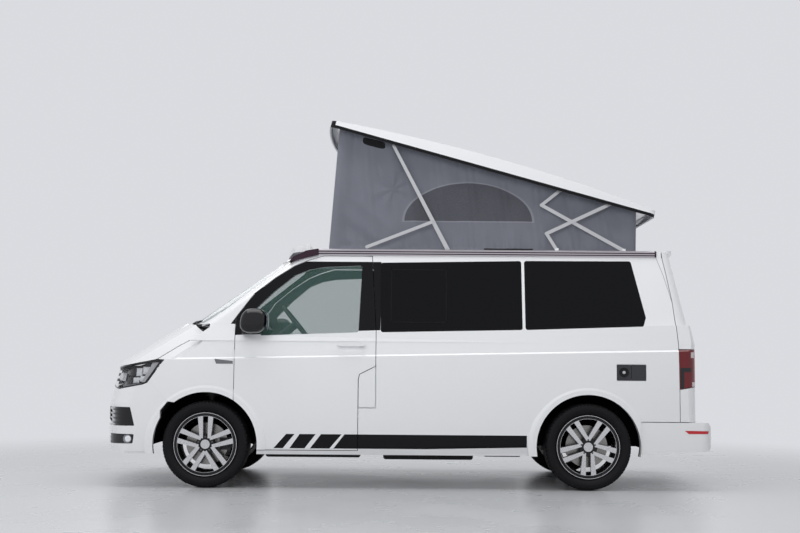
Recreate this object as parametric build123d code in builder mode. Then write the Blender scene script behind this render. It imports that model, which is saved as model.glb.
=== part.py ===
"""Pop-top camper van: a boxy steel van body with doors, bonnet and tailgate, and a raised roof lid.

Millimetres. +X points to the rear, +Y to the vehicle's right and +Z up. The origin is on
the ground under the middle of the vehicle. The roof is modelled raised, as it is used.
"""
from build123d import *
import os
from math import atan2, cos, degrees, hypot, radians, sin, sqrt

os.makedirs("parts", exist_ok=True)

# ---------------------------------------------------------------- driving dimensions
# wheels and axles
WHEELBASE = 3000.0
FRONT_AXLE_X = -1544.0
REAR_AXLE_X = FRONT_AXLE_X + WHEELBASE
TRACK = 1628.0
TYRE_RADIUS = 338.0
TYRE_WIDTH = 250.0
RIM_RADIUS = 247.0
BEAD_RADIUS = 229.0
HUB_RADIUS = 58.0
DISC_RADIUS = 165.0
DISC_THICKNESS = 26.0
SPOKE_PAIRS = 5
ARCH_RADIUS = 408.0
FLARE_WIDTH = 66.0
FLARE_PROUD = 8.0

# body shell
NOSE_X = -2452.0
TAIL_X = 2402.0
BUMPER_TAIL_X = 2452.0
HALF_WIDTH = 944.0
SILL_Z = 262.0
WALL = 55.0
BONNET_THICKNESS = 28.0
ROOF_Z = 1890.0
ROOF_THICKNESS = 35.0
GUTTER_Z = 1842.0
WAIST_SLOPE = 0.0225
PANEL_GAP = 5.0
SEAT_GAP = 0.3
GLASS_THICKNESS = 5.0
GLASS_SET_BACK = 2.0
FLOOR_Z = 480.0
FLOOR_THICKNESS = 24.0

# pop-up roof
LID_FRONT_X = -702.0
LID_REAR_X = 2045.0
LID_HALF_WIDTH = 690.0
LID_LIP_Z = 1896.0
LID_SKIN = 14.0
LID_SEAL_HEIGHT = 24.0
LID_LIFT = 15.4
POLE_X = 3088.0
POLE_Z = 2057.0
CANVAS_FRONT_X = -619.0
CANVAS_REAR_X = 1906.0
CANVAS_HALF_WIDTH = 600.0
CANVAS_THICKNESS = 6.0
LINK_Z = 1910.0


# folding bars: pivots and free ends (x, z) where the lid stands open, layers from the middle of the van
BAR_THICKNESS = 8.0
STRUT_THICKNESS = 12.0
ROD_GAP = 0.5
LUG = 4.0
STRUT_PIVOT = (357.0, LINK_Z)
STRUT_TOP = (-89.0, 2761.0)
BRACE_PIVOT = (238.0, 2136.0)
BRACE_FOOT = (-300.0, 1925.0)
REAR_BAR_PIVOT = (1792.0, LINK_Z)
REAR_BAR_TOP = (1123.0, 2279.0)
CROSS_BAR_FOOT = (1161.0, 2044.0)
ROOF_LINK_PIVOT = (1245.0, LINK_Z)
# the two pivots on the lid, (x, z) where it is closed
LID_LINK_CLOSED = (1252.0, 1912.0)
CROSS_BAR_CLOSED = (1675.0, 1912.0)
STRUT_LAYER = 634.0
BRACE_LAYER = STRUT_LAYER + STRUT_THICKNESS + ROD_GAP
LID_LINK_LAYER = 622.0
REAR_BAR_LAYER = LID_LINK_LAYER + BAR_THICKNESS + ROD_GAP
CROSS_BAR_LAYER = REAR_BAR_LAYER + BAR_THICKNESS + ROD_GAP
ROOF_LINK_LAYER = CROSS_BAR_LAYER + BAR_THICKNESS + ROD_GAP

LEFT = -1
RIGHT = 1


# ---------------------------------------------------------------- small helpers
def sagitta(half_chord, radius):
    """Height of an arc over its chord."""
    return radius - sqrt(radius**2 - half_chord**2)


def side_prism(points, y_low=-1200.0, y_high=1200.0, shrink=0.0, radius=0.0):
    """Closed outline of (x, z) points carried across the vehicle from y_low to y_high."""
    with BuildPart(mode=Mode.PRIVATE) as prism:
        with BuildSketch(Plane.XZ.offset(-y_high)) as outline:
            Polygon(*points, align=None)
            if shrink:
                offset(amount=-shrink, kind=Kind.INTERSECTION)
            if radius:
                fillet(outline.vertices(), radius)
        extrude(amount=y_high - y_low)
    return prism.part


def front_prism(points, x_low, x_high, shrink=0.0, radius=0.0):
    """Closed outline of (y, z) points carried along the vehicle from x_low to x_high."""
    with BuildPart(mode=Mode.PRIVATE) as prism:
        with BuildSketch(Plane.YZ.offset(x_low)) as outline:
            Polygon(*points, align=None)
            if shrink:
                offset(amount=-shrink, kind=Kind.INTERSECTION)
            if radius:
                fillet(outline.vertices(), radius)
        extrude(amount=x_high - x_low)
    return prism.part


def cross_cylinder(x, z, radius, y_low, y_high):
    """Cylinder lying across the vehicle."""
    with BuildPart(mode=Mode.PRIVATE) as cylinder:
        with BuildSketch(Plane.XZ.offset(-y_high)):
            with Locations((x, z)):
                Circle(radius)
        extrude(amount=y_high - y_low)
    return cylinder.part


def block(x_low, x_high, y_low, y_high, z_low, z_high):
    """Box given by its faces."""
    size = (x_high - x_low, y_high - y_low, z_high - z_low)
    return Pos(x_low, y_low, z_low) * Box(*size, align=Align.MIN, mode=Mode.PRIVATE)


def post(x, y, z_low, z_high, radius, lean=0.0):
    """Cylinder standing on z_low, leaning towards +Y by lean degrees about its middle."""
    middle = Pos(x, y, (z_low + z_high) / 2) * Rot(-lean, 0, 0)
    return middle * Cylinder(radius, z_high - z_low, mode=Mode.PRIVATE)


def write(piece, name):
    """Labels a finished piece and writes its STEP file."""
    piece.part.label = name
    export_step(piece.part, f"parts/{name}.step")


def write_pair(piece, name):
    """Writes a left-hand piece as name_left and its mirror image as name_right."""
    write(piece, f"{name}_left")
    with BuildPart(mode=Mode.PRIVATE) as twin:
        mirror(piece.part, about=Plane.XZ)
    write(twin, f"{name}_right")


# ---------------------------------------------------------------- body envelope
# The shell is one outer form. Panels are cut from its wall, so that they line up at the gaps.
NOSE_RADIUS = 2311.0
TAIL_RADIUS = 4000.0
NOSE_CORNER = 230.0
TAIL_CORNER = 100.0
PLAN_HALF_WIDTH = HALF_WIDTH + 3
BUMPER_TOP_Z = 640.0
NOSE_LEAN = 0.27
WAIST_Z = 1150.0
TAIL_LEAN = 0.244
# bonnet: side profile (x, z), and its cross-section (y, z) at BONNET_SECTION_X
BONNET_PROFILE = (
    (-2600, 800), (-2400, 945), (-2355, 984), (-2250, 1061), (-2090, 1158), (-1985, 1235), (-1850, 1282),
    (-1763, 1312), (-1500, 1390),
)
BONNET_SECTION_X = -1786.0
BONNET_CREASE = (640.0, 1215.0)
BONNET_EDGE = (850.0, 1040.0)
BONNET_CROWN_Z = 1345.0
BONNET_SLOPE = 0.6077
# top of the wings, (x, z)
WING_PROFILE = ((-2600, 900), (-2250, 947), (-1985, 987), (-1786, 1004), (-1640, 1080), (-1540, 1190))
SWEEP_START = -2600.0
SWEEP_LENGTH = 5400.0
SCREEN_LEAN = 1.4386
SCREEN_BOTTOM_X = -1989.0
SCREEN_RADIUS = 1700.0
WAIST_HALF_WIDTH = 926.0
ROOF_HALF_WIDTH = 750.0
SCREEN_CORNER = 70.0


def slanted(sketch, rise, lean):
    """Extrudes a horizontal sketch upwards by rise, shifting lean along x for each unit of height."""
    return extrude(sketch, amount=rise * sqrt(1 + lean**2), dir=(lean, 0, 1), mode=Mode.PRIVATE)


def front_outline(z, x_front, x_rear, half_width, radius, corner, inset):
    """Horizontal outline bowed at its front end."""
    with BuildSketch(Plane.XY.offset(z), mode=Mode.PRIVATE) as outline:
        corner_x = x_front + sagitta(half_width, radius)
        with BuildLine():
            ThreePointArc((corner_x, half_width), (x_front, 0), (corner_x, -half_width))
            Polyline(
                (corner_x, -half_width), (x_rear, -half_width), (x_rear, half_width), (corner_x, half_width),
            )
        make_face()
        if corner:
            fillet(outline.vertices().sort_by(Axis.X)[:2], corner)
        if inset:
            offset(amount=-inset, kind=Kind.INTERSECTION)
    return outline.sketch


def rear_outline(z, x_front, x_rear, half_width, radius, corner, inset):
    """Horizontal outline bowed at its rear end."""
    with BuildSketch(Plane.XY.offset(z), mode=Mode.PRIVATE) as outline:
        corner_x = x_rear - sagitta(half_width, radius)
        with BuildLine():
            ThreePointArc((corner_x, -half_width), (x_rear, 0), (corner_x, half_width))
            Polyline(
                (corner_x, half_width), (x_front, half_width), (x_front, -half_width), (corner_x, -half_width),
            )
        make_face()
        if corner:
            fillet(outline.vertices().sort_by(Axis.X)[-2:], corner)
        if inset:
            offset(amount=-inset, kind=Kind.INTERSECTION)
    return outline.sketch


def belt_z(x):
    """Height of the ledge under the side windows."""
    return 1188 + (x + 1439) * 0.0400 if x < -210 else 1237 + (x + 210) * 0.024


def plan_form(inset):
    """Plan outline carried up: upright bumper zone, nose leaning back, tail leaning forward."""
    nose = (NOSE_X, 600, PLAN_HALF_WIDTH, NOSE_RADIUS, NOSE_CORNER, inset)
    tail = (-600, TAIL_X, PLAN_HALF_WIDTH, TAIL_RADIUS, TAIL_CORNER, inset)
    form = extrude(front_outline(100, *nose), amount=BUMPER_TOP_Z - 100, mode=Mode.PRIVATE)
    form += slanted(front_outline(BUMPER_TOP_Z, *nose), 1450 - BUMPER_TOP_Z, NOSE_LEAN)
    form += extrude(rear_outline(100, *tail), amount=WAIST_Z - 100, mode=Mode.PRIVATE)
    form += slanted(rear_outline(WAIST_Z, *tail), 1450 - WAIST_Z, -TAIL_LEAN)
    return form


def top_form(inset):
    """Everything under the bonnet, the wings and the window ledge."""
    with BuildPart(mode=Mode.PRIVATE) as bonnet_form:
        start_x = -2600
        drop = (BONNET_SECTION_X - start_x) * BONNET_SLOPE
        (crease_y, crease_z), (edge_y, edge_z) = BONNET_CREASE, BONNET_EDGE
        with BuildSketch(Plane.YZ.offset(start_x)):
            with BuildLine():
                ThreePointArc(
                    (-crease_y, crease_z - drop), (0, BONNET_CROWN_Z - drop), (crease_y, crease_z - drop),
                )
                Polyline(
                    (crease_y, crease_z - drop), (edge_y, edge_z - drop), (edge_y, -900), (-edge_y, -900),
                    (-edge_y, edge_z - drop), (-crease_y, crease_z - drop),
                )
            make_face()
            if inset:
                offset(amount=-inset, kind=Kind.INTERSECTION)
        extrude(amount=1300, dir=(1, 0, BONNET_SLOPE))
        lowered = [(x, z - inset) for x, z in BONNET_PROFILE]
        add(side_prism(lowered + [(-1500, 0), (-2600, 0)]), mode=Mode.INTERSECT)
    wing = [(x, z - inset) for x, z in WING_PROFILE]
    belt = [(x, belt_z(x) - inset) for x in (-1540, -211, 2600)]
    return bonnet_form.part + side_prism(wing + belt[1:] + [(2600, 0), (-2600, 0)])


def waist_form(inset):
    """Body below the windows, drawn in by inset on every side."""
    drop = WAIST_SLOPE * SWEEP_START
    with BuildPart(mode=Mode.PRIVATE) as form:
        with BuildSketch(Plane.YZ.offset(SWEEP_START)):
            with BuildLine():
                Polyline((0, 100 + drop), (870, 100 + drop), (905, SILL_Z + drop), (934, 330 + drop))
                ThreePointArc((934, 330 + drop), (HALF_WIDTH - 1, 640 + drop), (HALF_WIDTH, 1040 + drop))
                Polyline(
                    (HALF_WIDTH, 1040 + drop), (HALF_WIDTH - 11, 1052 + drop), (914, 1236 + drop),
                    (900, 1420 + drop), (0, 1420 + drop), (0, 100 + drop),
                )
            make_face()
            mirror(about=Plane.YZ)
            if inset:
                offset(amount=-inset, kind=Kind.INTERSECTION)
        extrude(amount=SWEEP_LENGTH, dir=(1, 0, WAIST_SLOPE))
        add(plan_form(inset), mode=Mode.INTERSECT)
        add(top_form(inset), mode=Mode.INTERSECT)
    return form.part


def greenhouse_form(inset, rounded=False):
    """Glasshouse from the waist to the roof skin: raked bowed screen, leaning sides and tail."""
    rise = ROOF_Z - WAIST_Z
    screen = front_outline(WAIST_Z, SCREEN_BOTTOM_X + inset, 3600, 1100, SCREEN_RADIUS, 0, 0)
    tail = rear_outline(WAIST_Z, -2600, TAIL_X - 26 - inset, 1100, TAIL_RADIUS, 0, 0)
    sides = (
        (-WAIST_HALF_WIDTH + inset, WAIST_Z), (WAIST_HALF_WIDTH - inset, WAIST_Z),
        (ROOF_HALF_WIDTH - inset, ROOF_Z), (-ROOF_HALF_WIDTH + inset, ROOF_Z),
    )
    with BuildPart(mode=Mode.PRIVATE) as form:
        add(front_prism(sides, -2600, 2600))
        add(slanted(screen, rise, SCREEN_LEAN), mode=Mode.INTERSECT)
        add(slanted(tail, rise, -TAIL_LEAN), mode=Mode.INTERSECT)
        if rounded:
            pillars = form.edges().filter_by(lambda edge: edge.bounding_box().size.Z > rise - 1)
            screen_edges = pillars.filter_by(lambda edge: edge.center().X < 0)
            tail_edges = pillars.filter_by(lambda edge: edge.center().X > 0)
            fillet(screen_edges, SCREEN_CORNER)
            fillet(tail_edges, TAIL_CORNER)
    return form.part


waist_outer = waist_form(0)
waist_inner = waist_form(WALL)
house_outer = greenhouse_form(0, rounded=True)
house_inner = greenhouse_form(WALL)
house_roof_void = house_inner & block(-2600, 2600, -1100, 1100, 1100, ROOF_Z - ROOF_THICKNESS)
body_outer = waist_outer + house_outer
# the waist's hollow stops short of the glasshouse's beside the dashboard, so this joins the two
JOIN_LOW_Z = 1100.0
JOIN_HALF_WIDTH = WAIST_HALF_WIDTH - WALL
cabin_join = block(-1330, -900, -JOIN_HALF_WIDTH, JOIN_HALF_WIDTH, JOIN_LOW_Z, WAIST_Z + 1)

# arches: the openings in the side and the raised lips round them
AXLE_XS = (FRONT_AXLE_X, REAR_AXLE_X)
WHEEL_Z = TYRE_RADIUS
arch_cuts = [cross_cylinder(x, WHEEL_Z, ARCH_RADIUS, -1100, 1100) for x in AXLE_XS]


def body_wall(prism, thin=None):
    """The part of the body's wall inside a prism: outer form less the cabin and the arches."""
    with BuildPart(mode=Mode.PRIVATE) as wall:
        add(body_outer & prism)
        for void in thin or (waist_inner, house_roof_void, cabin_join):
            add(void, mode=Mode.SUBTRACT)
    return wall.part


def arch_flare(prism, x):
    """Raised lip round the wheel opening at x, left side, inside a prism."""
    with BuildPart(mode=Mode.PRIVATE) as flare:
        with BuildSketch(Plane.XZ):
            Polygon(
                (ARCH_RADIUS - 6, HALF_WIDTH - 40), (ARCH_RADIUS - 6, HALF_WIDTH + FLARE_PROUD),
                (ARCH_RADIUS + 34, HALF_WIDTH + FLARE_PROUD), (ARCH_RADIUS + FLARE_WIDTH, HALF_WIDTH - 4),
                (ARCH_RADIUS + FLARE_WIDTH, HALF_WIDTH - 40), align=None,
            )
        revolve(axis=Axis.Z)
    return Pos(x, 0, WHEEL_Z) * Rot(90, 0, 0) * flare.part & prism


# ---------------------------------------------------------------- side outlines, (x, z)
SHUT_X = -212.0
DOOR_TOP_Z = GUTTER_Z - 4
SIDE_TOP_Z = GUTTER_Z + PANEL_GAP / 2 - SEAT_GAP
DOOR_OUTLINE = (
    (-1325, 298), (-1325, 1334), (-1183, 1530), (-1021, 1660),
    (-870, 1757), (-760, 1802), (-640, DOOR_TOP_Z), (-250, DOOR_TOP_Z), (SHUT_X, 1228),
    (SHUT_X, 958), (-340, 893), (-349, 848), (-349, 298),
)
DOOR_GLASS_OUTLINE = (
    (-1125, 1192), (-1178, 1396), (-1023, 1548), (-866, 1677), (-747, 1726),
    (-627, 1747), (-330, 1761), (-352, 1222),
)
SIDE_OUTLINE = (
    (-1325, SILL_Z), (-1325, 298), (-349, 298), (-349, 848), (-340, 893), (SHUT_X, 958),
    (SHUT_X, 1228), (-250, SIDE_TOP_Z), (2075, SIDE_TOP_Z), (2099, 1716), (2137, 1481),
    (2167, 1142), (2173, 537), (1867, 537), (1867, SILL_Z),
)
FRONT_PANE_OUTLINE = ((-184, 1786), (-176, 1224), (945, 1250), (945, 1808))
REAR_PANE_OUTLINE = ((967, 1809), (967, 1250), (1900, 1284), (1922, 1355), (1822, 1812))
SLIDING_DOOR_OUTLINE = (
    (SHUT_X, 298), (SHUT_X, 1228), (-250, DOOR_TOP_Z), (956, DOOR_TOP_Z), (956, 298),
)
TAIL_SHUT = ((2075, ROOF_Z + 12), (2078, 1830), (2099, 1716), (2137, 1481), (2167, 1142), (2173, 537))
BONNET_LINE = ((-2500, 955), (-2204, 957), (-1966, 1000), (-1786, 1110), (-1606, 1203), (-1530, 1258))
HEADLAMP_OUTLINE = (
    (-1879, 994), (-1948, 993), (-2204, 953), (-2400, 928), (-2500, 928), (-2500, 806),
    (-2400, 790), (-2239, 760), (-2042, 797), (-2010, 810),
)
PILLAR_FLAP_OUTLINE = ((-349, 632), (-349, 848), (-340, 893), (SHUT_X, 958), (SHUT_X, 632))
LAMP_INNER_Y = 470.0
SCREEN_OUTLINE = ((-830, 1292), (830, 1292), (690, 1812), (-690, 1812))
SCREEN_BASE_Z = 1283.0
TAIL_HINGE_X = 2077.5
TAIL_HINGE_Z = 1898.0
HINGE_PIN = 7.0
HINGE_WIDTH = 60.0
HINGE_YS = (-460.0, 400.0)
BONNET_ARC_RADIUS = 1300.0
BONNET_REAR_X = -1850.0



def pane(outline, radius):
    """Side glass filling an opening of the left wall, set back from the skin."""
    with BuildPart(mode=Mode.PRIVATE) as glass:
        add(side_prism(outline, -1100, -400, shrink=SEAT_GAP, radius=radius))
        add(greenhouse_form(GLASS_SET_BACK), mode=Mode.INTERSECT)
        add(greenhouse_form(GLASS_SET_BACK + GLASS_THICKNESS), mode=Mode.SUBTRACT)
    return glass.part


# ---------------------------------------------------------------- front doors
HANDLE_X = -407.0
HANDLE_Z = 1128.0
DOOR_FLANGE = 14.0
# behind this line only the outer flange of the door reaches back over the pillar's seal
FLANGE_OUTLINE = (
    (-374, 290), (-374, 856), (-365, 908), (-238, 972), (-238, 1228), (-276, 1850), (-150, 1850), (-150, 290),
)
door_prism = side_prism(DOOR_OUTLINE, -1100, -400, shrink=PANEL_GAP / 2)
with BuildPart() as front_door:
    add(body_wall(door_prism))
    add(arch_flare(door_prism, FRONT_AXLE_X))
    add(arch_cuts[0], mode=Mode.SUBTRACT)
    add(side_prism(DOOR_GLASS_OUTLINE, -1100, -400, radius=18), mode=Mode.SUBTRACT)
    for form in (waist_form(DOOR_FLANGE), greenhouse_form(DOOR_FLANGE)):
        add(form & side_prism(FLANGE_OUTLINE, -1100, -400), mode=Mode.SUBTRACT)
    with BuildSketch(Plane.XZ.offset(HALF_WIDTH + 32)):
        with Locations((HANDLE_X, HANDLE_Z)):
            SlotOverall(212, 30)
    extrude(amount=-14)
    with BuildSketch(Plane.XZ.offset(HALF_WIDTH + 20)):
        with Locations((HANDLE_X - 88, HANDLE_Z), (HANDLE_X + 88, HANDLE_Z)):
            Circle(12)
    extrude(amount=-45)
write_pair(front_door, "front_door")

with BuildPart() as door_glass:
    add(pane(DOOR_GLASS_OUTLINE, 18))
write_pair(door_glass, "door_glass")

# ---------------------------------------------------------------- door mirrors
MIRROR_Y = -960.0
with BuildPart() as door_mirror:
    with BuildSketch(Plane.XZ.offset(-MIRROR_Y)) as shell_outline:
        Polygon((-1275, 1202), (-1262, 1335), (-1215, 1388), (-1105, 1402), (-1045, 1208), align=None)
        fillet(shell_outline.vertices(), 24)
    extrude(amount=185)
    fillet(door_mirror.edges().group_by(Axis.Y)[0], 20)
    # foot on the door's triangle
    with BuildSketch(Plane.XZ.offset(-MIRROR_Y)):
        Polygon((-1290, 1196), (-1200, 1196), (-1160, 1240), (-1250, 1262), align=None)
    extrude(amount=-62)
    add(greenhouse_form(-SEAT_GAP), mode=Mode.SUBTRACT)
    add(waist_outer, mode=Mode.SUBTRACT)
write_pair(door_mirror, "door_mirror")

# ---------------------------------------------------------------- fixed side panels
with BuildPart() as side_blank:
    side_prism_left = side_prism(SIDE_OUTLINE, -1100, -400, shrink=PANEL_GAP / 2)
    add(body_wall(side_prism_left))
    add(arch_flare(side_prism_left, REAR_AXLE_X))
    for cut in arch_cuts:
        add(cut, mode=Mode.SUBTRACT)
    for outline in (FRONT_PANE_OUTLINE, REAR_PANE_OUTLINE):
        add(side_prism(outline, -1100, -400, radius=20), mode=Mode.SUBTRACT)

FLAP_BOX = ((1677, 857), (1909, 857), (1909, 986), (1677, 986))
with BuildPart() as side_panel_left:
    add(side_blank.part)
    add(side_prism(FLAP_BOX, -1100, -HALF_WIDTH + 22, radius=8), mode=Mode.SUBTRACT)
    add(side_prism(PILLAR_FLAP_OUTLINE, -1100, -HALF_WIDTH + 20, shrink=-PANEL_GAP), mode=Mode.SUBTRACT)
write(side_panel_left, "side_panel_left")

with BuildPart() as side_panel_right:
    mirror(side_blank.part, about=Plane.XZ)
    add(side_prism(SLIDING_DOOR_OUTLINE, 400, 1100, shrink=-PANEL_GAP / 2), mode=Mode.SUBTRACT)
    # rail that carries the sliding door's rear roller
    add(side_prism(((956, 1068), (2080, 1092), (2080, 1106), (956, 1082)), 915, 1100), mode=Mode.SUBTRACT)
write(side_panel_right, "side_panel_right")

with BuildPart() as sliding_door:
    slider_prism = side_prism(SLIDING_DOOR_OUTLINE, 400, 1100, shrink=PANEL_GAP / 2)
    add(body_wall(slider_prism))
    add(side_prism(FRONT_PANE_OUTLINE, 400, 1100, radius=20), mode=Mode.SUBTRACT)
    with BuildSketch(Plane.XZ.offset(-HALF_WIDTH - 32)):
        with Locations((-90, HANDLE_Z)):
            SlotOverall(212, 30)
    extrude(amount=14)
    with BuildSketch(Plane.XZ.offset(-HALF_WIDTH - 20)):
        with Locations((-178, HANDLE_Z), (-2, HANDLE_Z)):
            Circle(12)
    extrude(amount=45)
    # rear roller arm, resting in the rail
    add(block(935, 1010, 917, 938, 1069.4, 1080))
write(sliding_door, "sliding_door")

with BuildPart() as side_windows:
    for outline in (FRONT_PANE_OUTLINE, REAR_PANE_OUTLINE):
        glass = pane(outline, 20)
        add(glass)
        mirror(glass, about=Plane.XZ)
write(side_windows, "side_windows")

with BuildPart() as service_flaps:
    # water inlet flap, mains inlet flap, and the filler flap behind the driver's door
    for x_low, x_high in ((1680, 1790.5), (1794.5, 1906)):
        add(side_prism(((x_low, 860), (x_high, 860), (x_high, 983), (x_low, 983)), -1100, -500, radius=5))
    add(side_prism(PILLAR_FLAP_OUTLINE, -1100, -500, shrink=PANEL_GAP / 2 + 1))
    add(waist_form(1), mode=Mode.INTERSECT)
    add(block(-2600, 2600, -HALF_WIDTH + 22 - SEAT_GAP, 1100, 0, 2000), mode=Mode.SUBTRACT)
    add(block(-400, -200, -HALF_WIDTH + 20 - SEAT_GAP, 1100, 0, 2000), mode=Mode.SUBTRACT)
write(service_flaps, "service_flaps")

# ---------------------------------------------------------------- roof frame
OPENING_FRONT_X = -600.0
OPENING_REAR_X = 1885.0
OPENING_HALF_WIDTH = 580.0
ROOF_REAR_X = TAIL_SHUT[0][0] - PANEL_GAP
ROOF_SIDE_OUTLINE = (
    (-2100, SCREEN_BASE_Z), (-1327.5, SCREEN_BASE_Z), (-1327.5, 1336), (-1189, 1528), (-1025, 1660),
    (-874, 1759), (-763, 1806), (-642, GUTTER_Z), (ROOF_REAR_X, GUTTER_Z), (ROOF_REAR_X, 2000), (-2100, 2000),
)
screen_cut = front_prism(SCREEN_OUTLINE, -2200, -700, radius=45)
BROW_PROFILE = ((-985, 1846), (-985, 1868), (-900, 1915), (-762, 1940), (-762, 1880), (-900, 1870))
with BuildPart() as brow:
    add(extrude(front_outline(1800, -985, 800, 712, 2400, 90, 0), amount=200, mode=Mode.PRIVATE))
    add(side_prism(BROW_PROFILE, -760, 760), mode=Mode.INTERSECT)
with BuildPart() as roof_frame:
    add(house_outer & side_prism(ROOF_SIDE_OUTLINE))
    add(house_roof_void, mode=Mode.SUBTRACT)
    add(screen_cut, mode=Mode.SUBTRACT)
    add(brow.part)
    opening = block(OPENING_FRONT_X, OPENING_REAR_X, -OPENING_HALF_WIDTH, OPENING_HALF_WIDTH, 1800, 2000)
    add(opening, mode=Mode.SUBTRACT)
    # lugs for the tailgate's hinges and for the folding bars
    for y in HINGE_YS:
        add(block(ROOF_REAR_X - 17, ROOF_REAR_X, y, y + HINGE_WIDTH, ROOF_Z - 10, TAIL_HINGE_Z + 2))
    for x, inner_y in (
        (STRUT_PIVOT[0], STRUT_LAYER - LUG - ROD_GAP),
        (REAR_BAR_PIVOT[0], REAR_BAR_LAYER + BAR_THICKNESS + ROD_GAP),
        (ROOF_LINK_PIVOT[0], ROOF_LINK_LAYER + BAR_THICKNESS + ROD_GAP),
    ):
        for low in (inner_y, -inner_y - LUG):
            add(block(x - 14, x + 14, low, low + LUG, ROOF_Z - 2, LINK_Z + 14))
write(roof_frame, "roof_frame")

with BuildPart() as windscreen:
    add(front_prism(SCREEN_OUTLINE, -2200, -700, shrink=SEAT_GAP, radius=45))
    add(greenhouse_form(GLASS_SET_BACK), mode=Mode.INTERSECT)
    add(greenhouse_form(GLASS_SET_BACK + 8), mode=Mode.SUBTRACT)
write(windscreen, "windscreen")

# ---------------------------------------------------------------- nose panels
BONNET_CORNER_X = -1590.6
bonnet_prism = side_prism(BONNET_LINE + ((-1530, 1500), (-2500, 1500)), shrink=PANEL_GAP / 2)
bonnet_arc = post(BONNET_REAR_X + BONNET_ARC_RADIUS, 0, 400, 1600, BONNET_ARC_RADIUS)
waist_bonnet_void = waist_form(BONNET_THICKNESS)
with BuildPart() as bonnet:
    add(waist_outer & bonnet_prism)
    add(waist_bonnet_void, mode=Mode.SUBTRACT)
    add(bonnet_arc, mode=Mode.SUBTRACT)
    add(block(-2600, -1300, -1100, 1100, 0, 900), mode=Mode.SUBTRACT)
write(bonnet, "bonnet")

WING_TOP_Z = SCREEN_BASE_Z + PANEL_GAP / 2 - SEAT_GAP
FENDER_OUTLINE = (
    (-1977, 808), (-2010, 810), (-1879, 994), (-1966, 1000), (-1786, 1110), (-1606, 1203), (-1530, 1258),
    (-1530, WING_TOP_Z), (-1325, WING_TOP_Z), (-1325, 600), (-1846, 669),
)
fender_prism = side_prism(FENDER_OUTLINE, -1100, -700, shrink=PANEL_GAP / 2)
with BuildPart() as front_fender:
    add(body_wall(fender_prism, thin=(waist_bonnet_void, greenhouse_form(BONNET_THICKNESS))))
    add(arch_flare(fender_prism, FRONT_AXLE_X))
    add(arch_cuts[0], mode=Mode.SUBTRACT)
    # door hinge leaves, and the lug behind the bonnet's rear corner
    for z in (700, 1010):
        add(block(-1345, -1325 + PANEL_GAP / 2 - ROD_GAP, -HALF_WIDTH + 9, -HALF_WIDTH + 49, z, z + 70))
    add(block(BONNET_CORNER_X, -1548, -886, -770, 1198, 1216))
write_pair(front_fender, "front_fender")

with BuildPart() as scuttle:
    add(body_outer & block(-1850, -1460, -860, 860, 1100, SCREEN_BASE_Z - SEAT_GAP))
    add(post(BONNET_REAR_X + BONNET_ARC_RADIUS, 0, 400, 1600, BONNET_ARC_RADIUS - 6), mode=Mode.INTERSECT)
    add(waist_bonnet_void, mode=Mode.SUBTRACT)
    add(greenhouse_form(40), mode=Mode.SUBTRACT)
    add(side_prism(FENDER_OUTLINE, shrink=PANEL_GAP / 2 - SEAT_GAP), mode=Mode.SUBTRACT)
    add(block(-1700, -1500, -900, 900, 1000, 1222), mode=Mode.SUBTRACT)
write(scuttle, "scuttle")

# ---------------------------------------------------------------- bumpers, grille and lamps
LOWER_GRILLE = ((-2600, 476), (-2098, 478), (-2134, 624), (-2600, 626))
FOG_SLOT = ((-2320, 338), (-2110, 340), (-2100, 414), (-2320, 416))
BUMPER_OUTLINE = (
    (-2600, 242), (-1900, 242), (-1900, 600), (-1846, 669), (-1977, 808), (-2010, 810), (-2042, 797),
    (-2239, 760), (-2400, 790), (-2600, 790),
)
bumper_prism = side_prism(BUMPER_OUTLINE, shrink=SEAT_GAP - PANEL_GAP / 2)
chin_cut = side_prism(((-2600, 150), (-2600, 330), (-2400, 300), (-2187, 272), (-1900, 262), (-1900, 150)))
with BuildPart() as front_bumper:
    add(waist_outer & bumper_prism)
    add(waist_form(32), mode=Mode.SUBTRACT)
    bumper_flare = arch_flare(bumper_prism, FRONT_AXLE_X)
    add(bumper_flare)
    mirror(bumper_flare, about=Plane.XZ)
    add(arch_cuts[0], mode=Mode.SUBTRACT)
    add(side_prism(LOWER_GRILLE, radius=6), mode=Mode.SUBTRACT)
    for y_low in (-1000, 640):
        add(side_prism(FOG_SLOT, y_low, y_low + 360, radius=10), mode=Mode.SUBTRACT)
    add(chin_cut, mode=Mode.SUBTRACT)
write(front_bumper, "front_bumper")

grille_outer = waist_form(10)
grille_inner = waist_form(32)
SLAT_PITCH = 34.0
SLAT_HEIGHT = 12.0
lower_grille_prism = side_prism(LOWER_GRILLE, shrink=SEAT_GAP + 0.2, radius=5)
with BuildPart() as front_grille:
    # back plate of the lower grille, its slats, and the upper grille between the headlamps
    add(waist_form(22) & lower_grille_prism)
    for level in range(4):
        z = 494 + level * SLAT_PITCH
        add(grille_outer & block(-2600, -2105, -1000, 1000, z, z + SLAT_HEIGHT) & lower_grille_prism)
    add(waist_form(24) & block(-2600, -2100, -LAMP_INNER_Y + SEAT_GAP, LAMP_INNER_Y - SEAT_GAP, 792.5, 944))
    for z in (818, 862, 906):
        add(waist_form(6) & block(-2600, -2100, -LAMP_INNER_Y + SEAT_GAP, LAMP_INNER_Y - SEAT_GAP, z, z + 22))
    add(grille_inner, mode=Mode.SUBTRACT)
write(front_grille, "front_grille")

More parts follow.
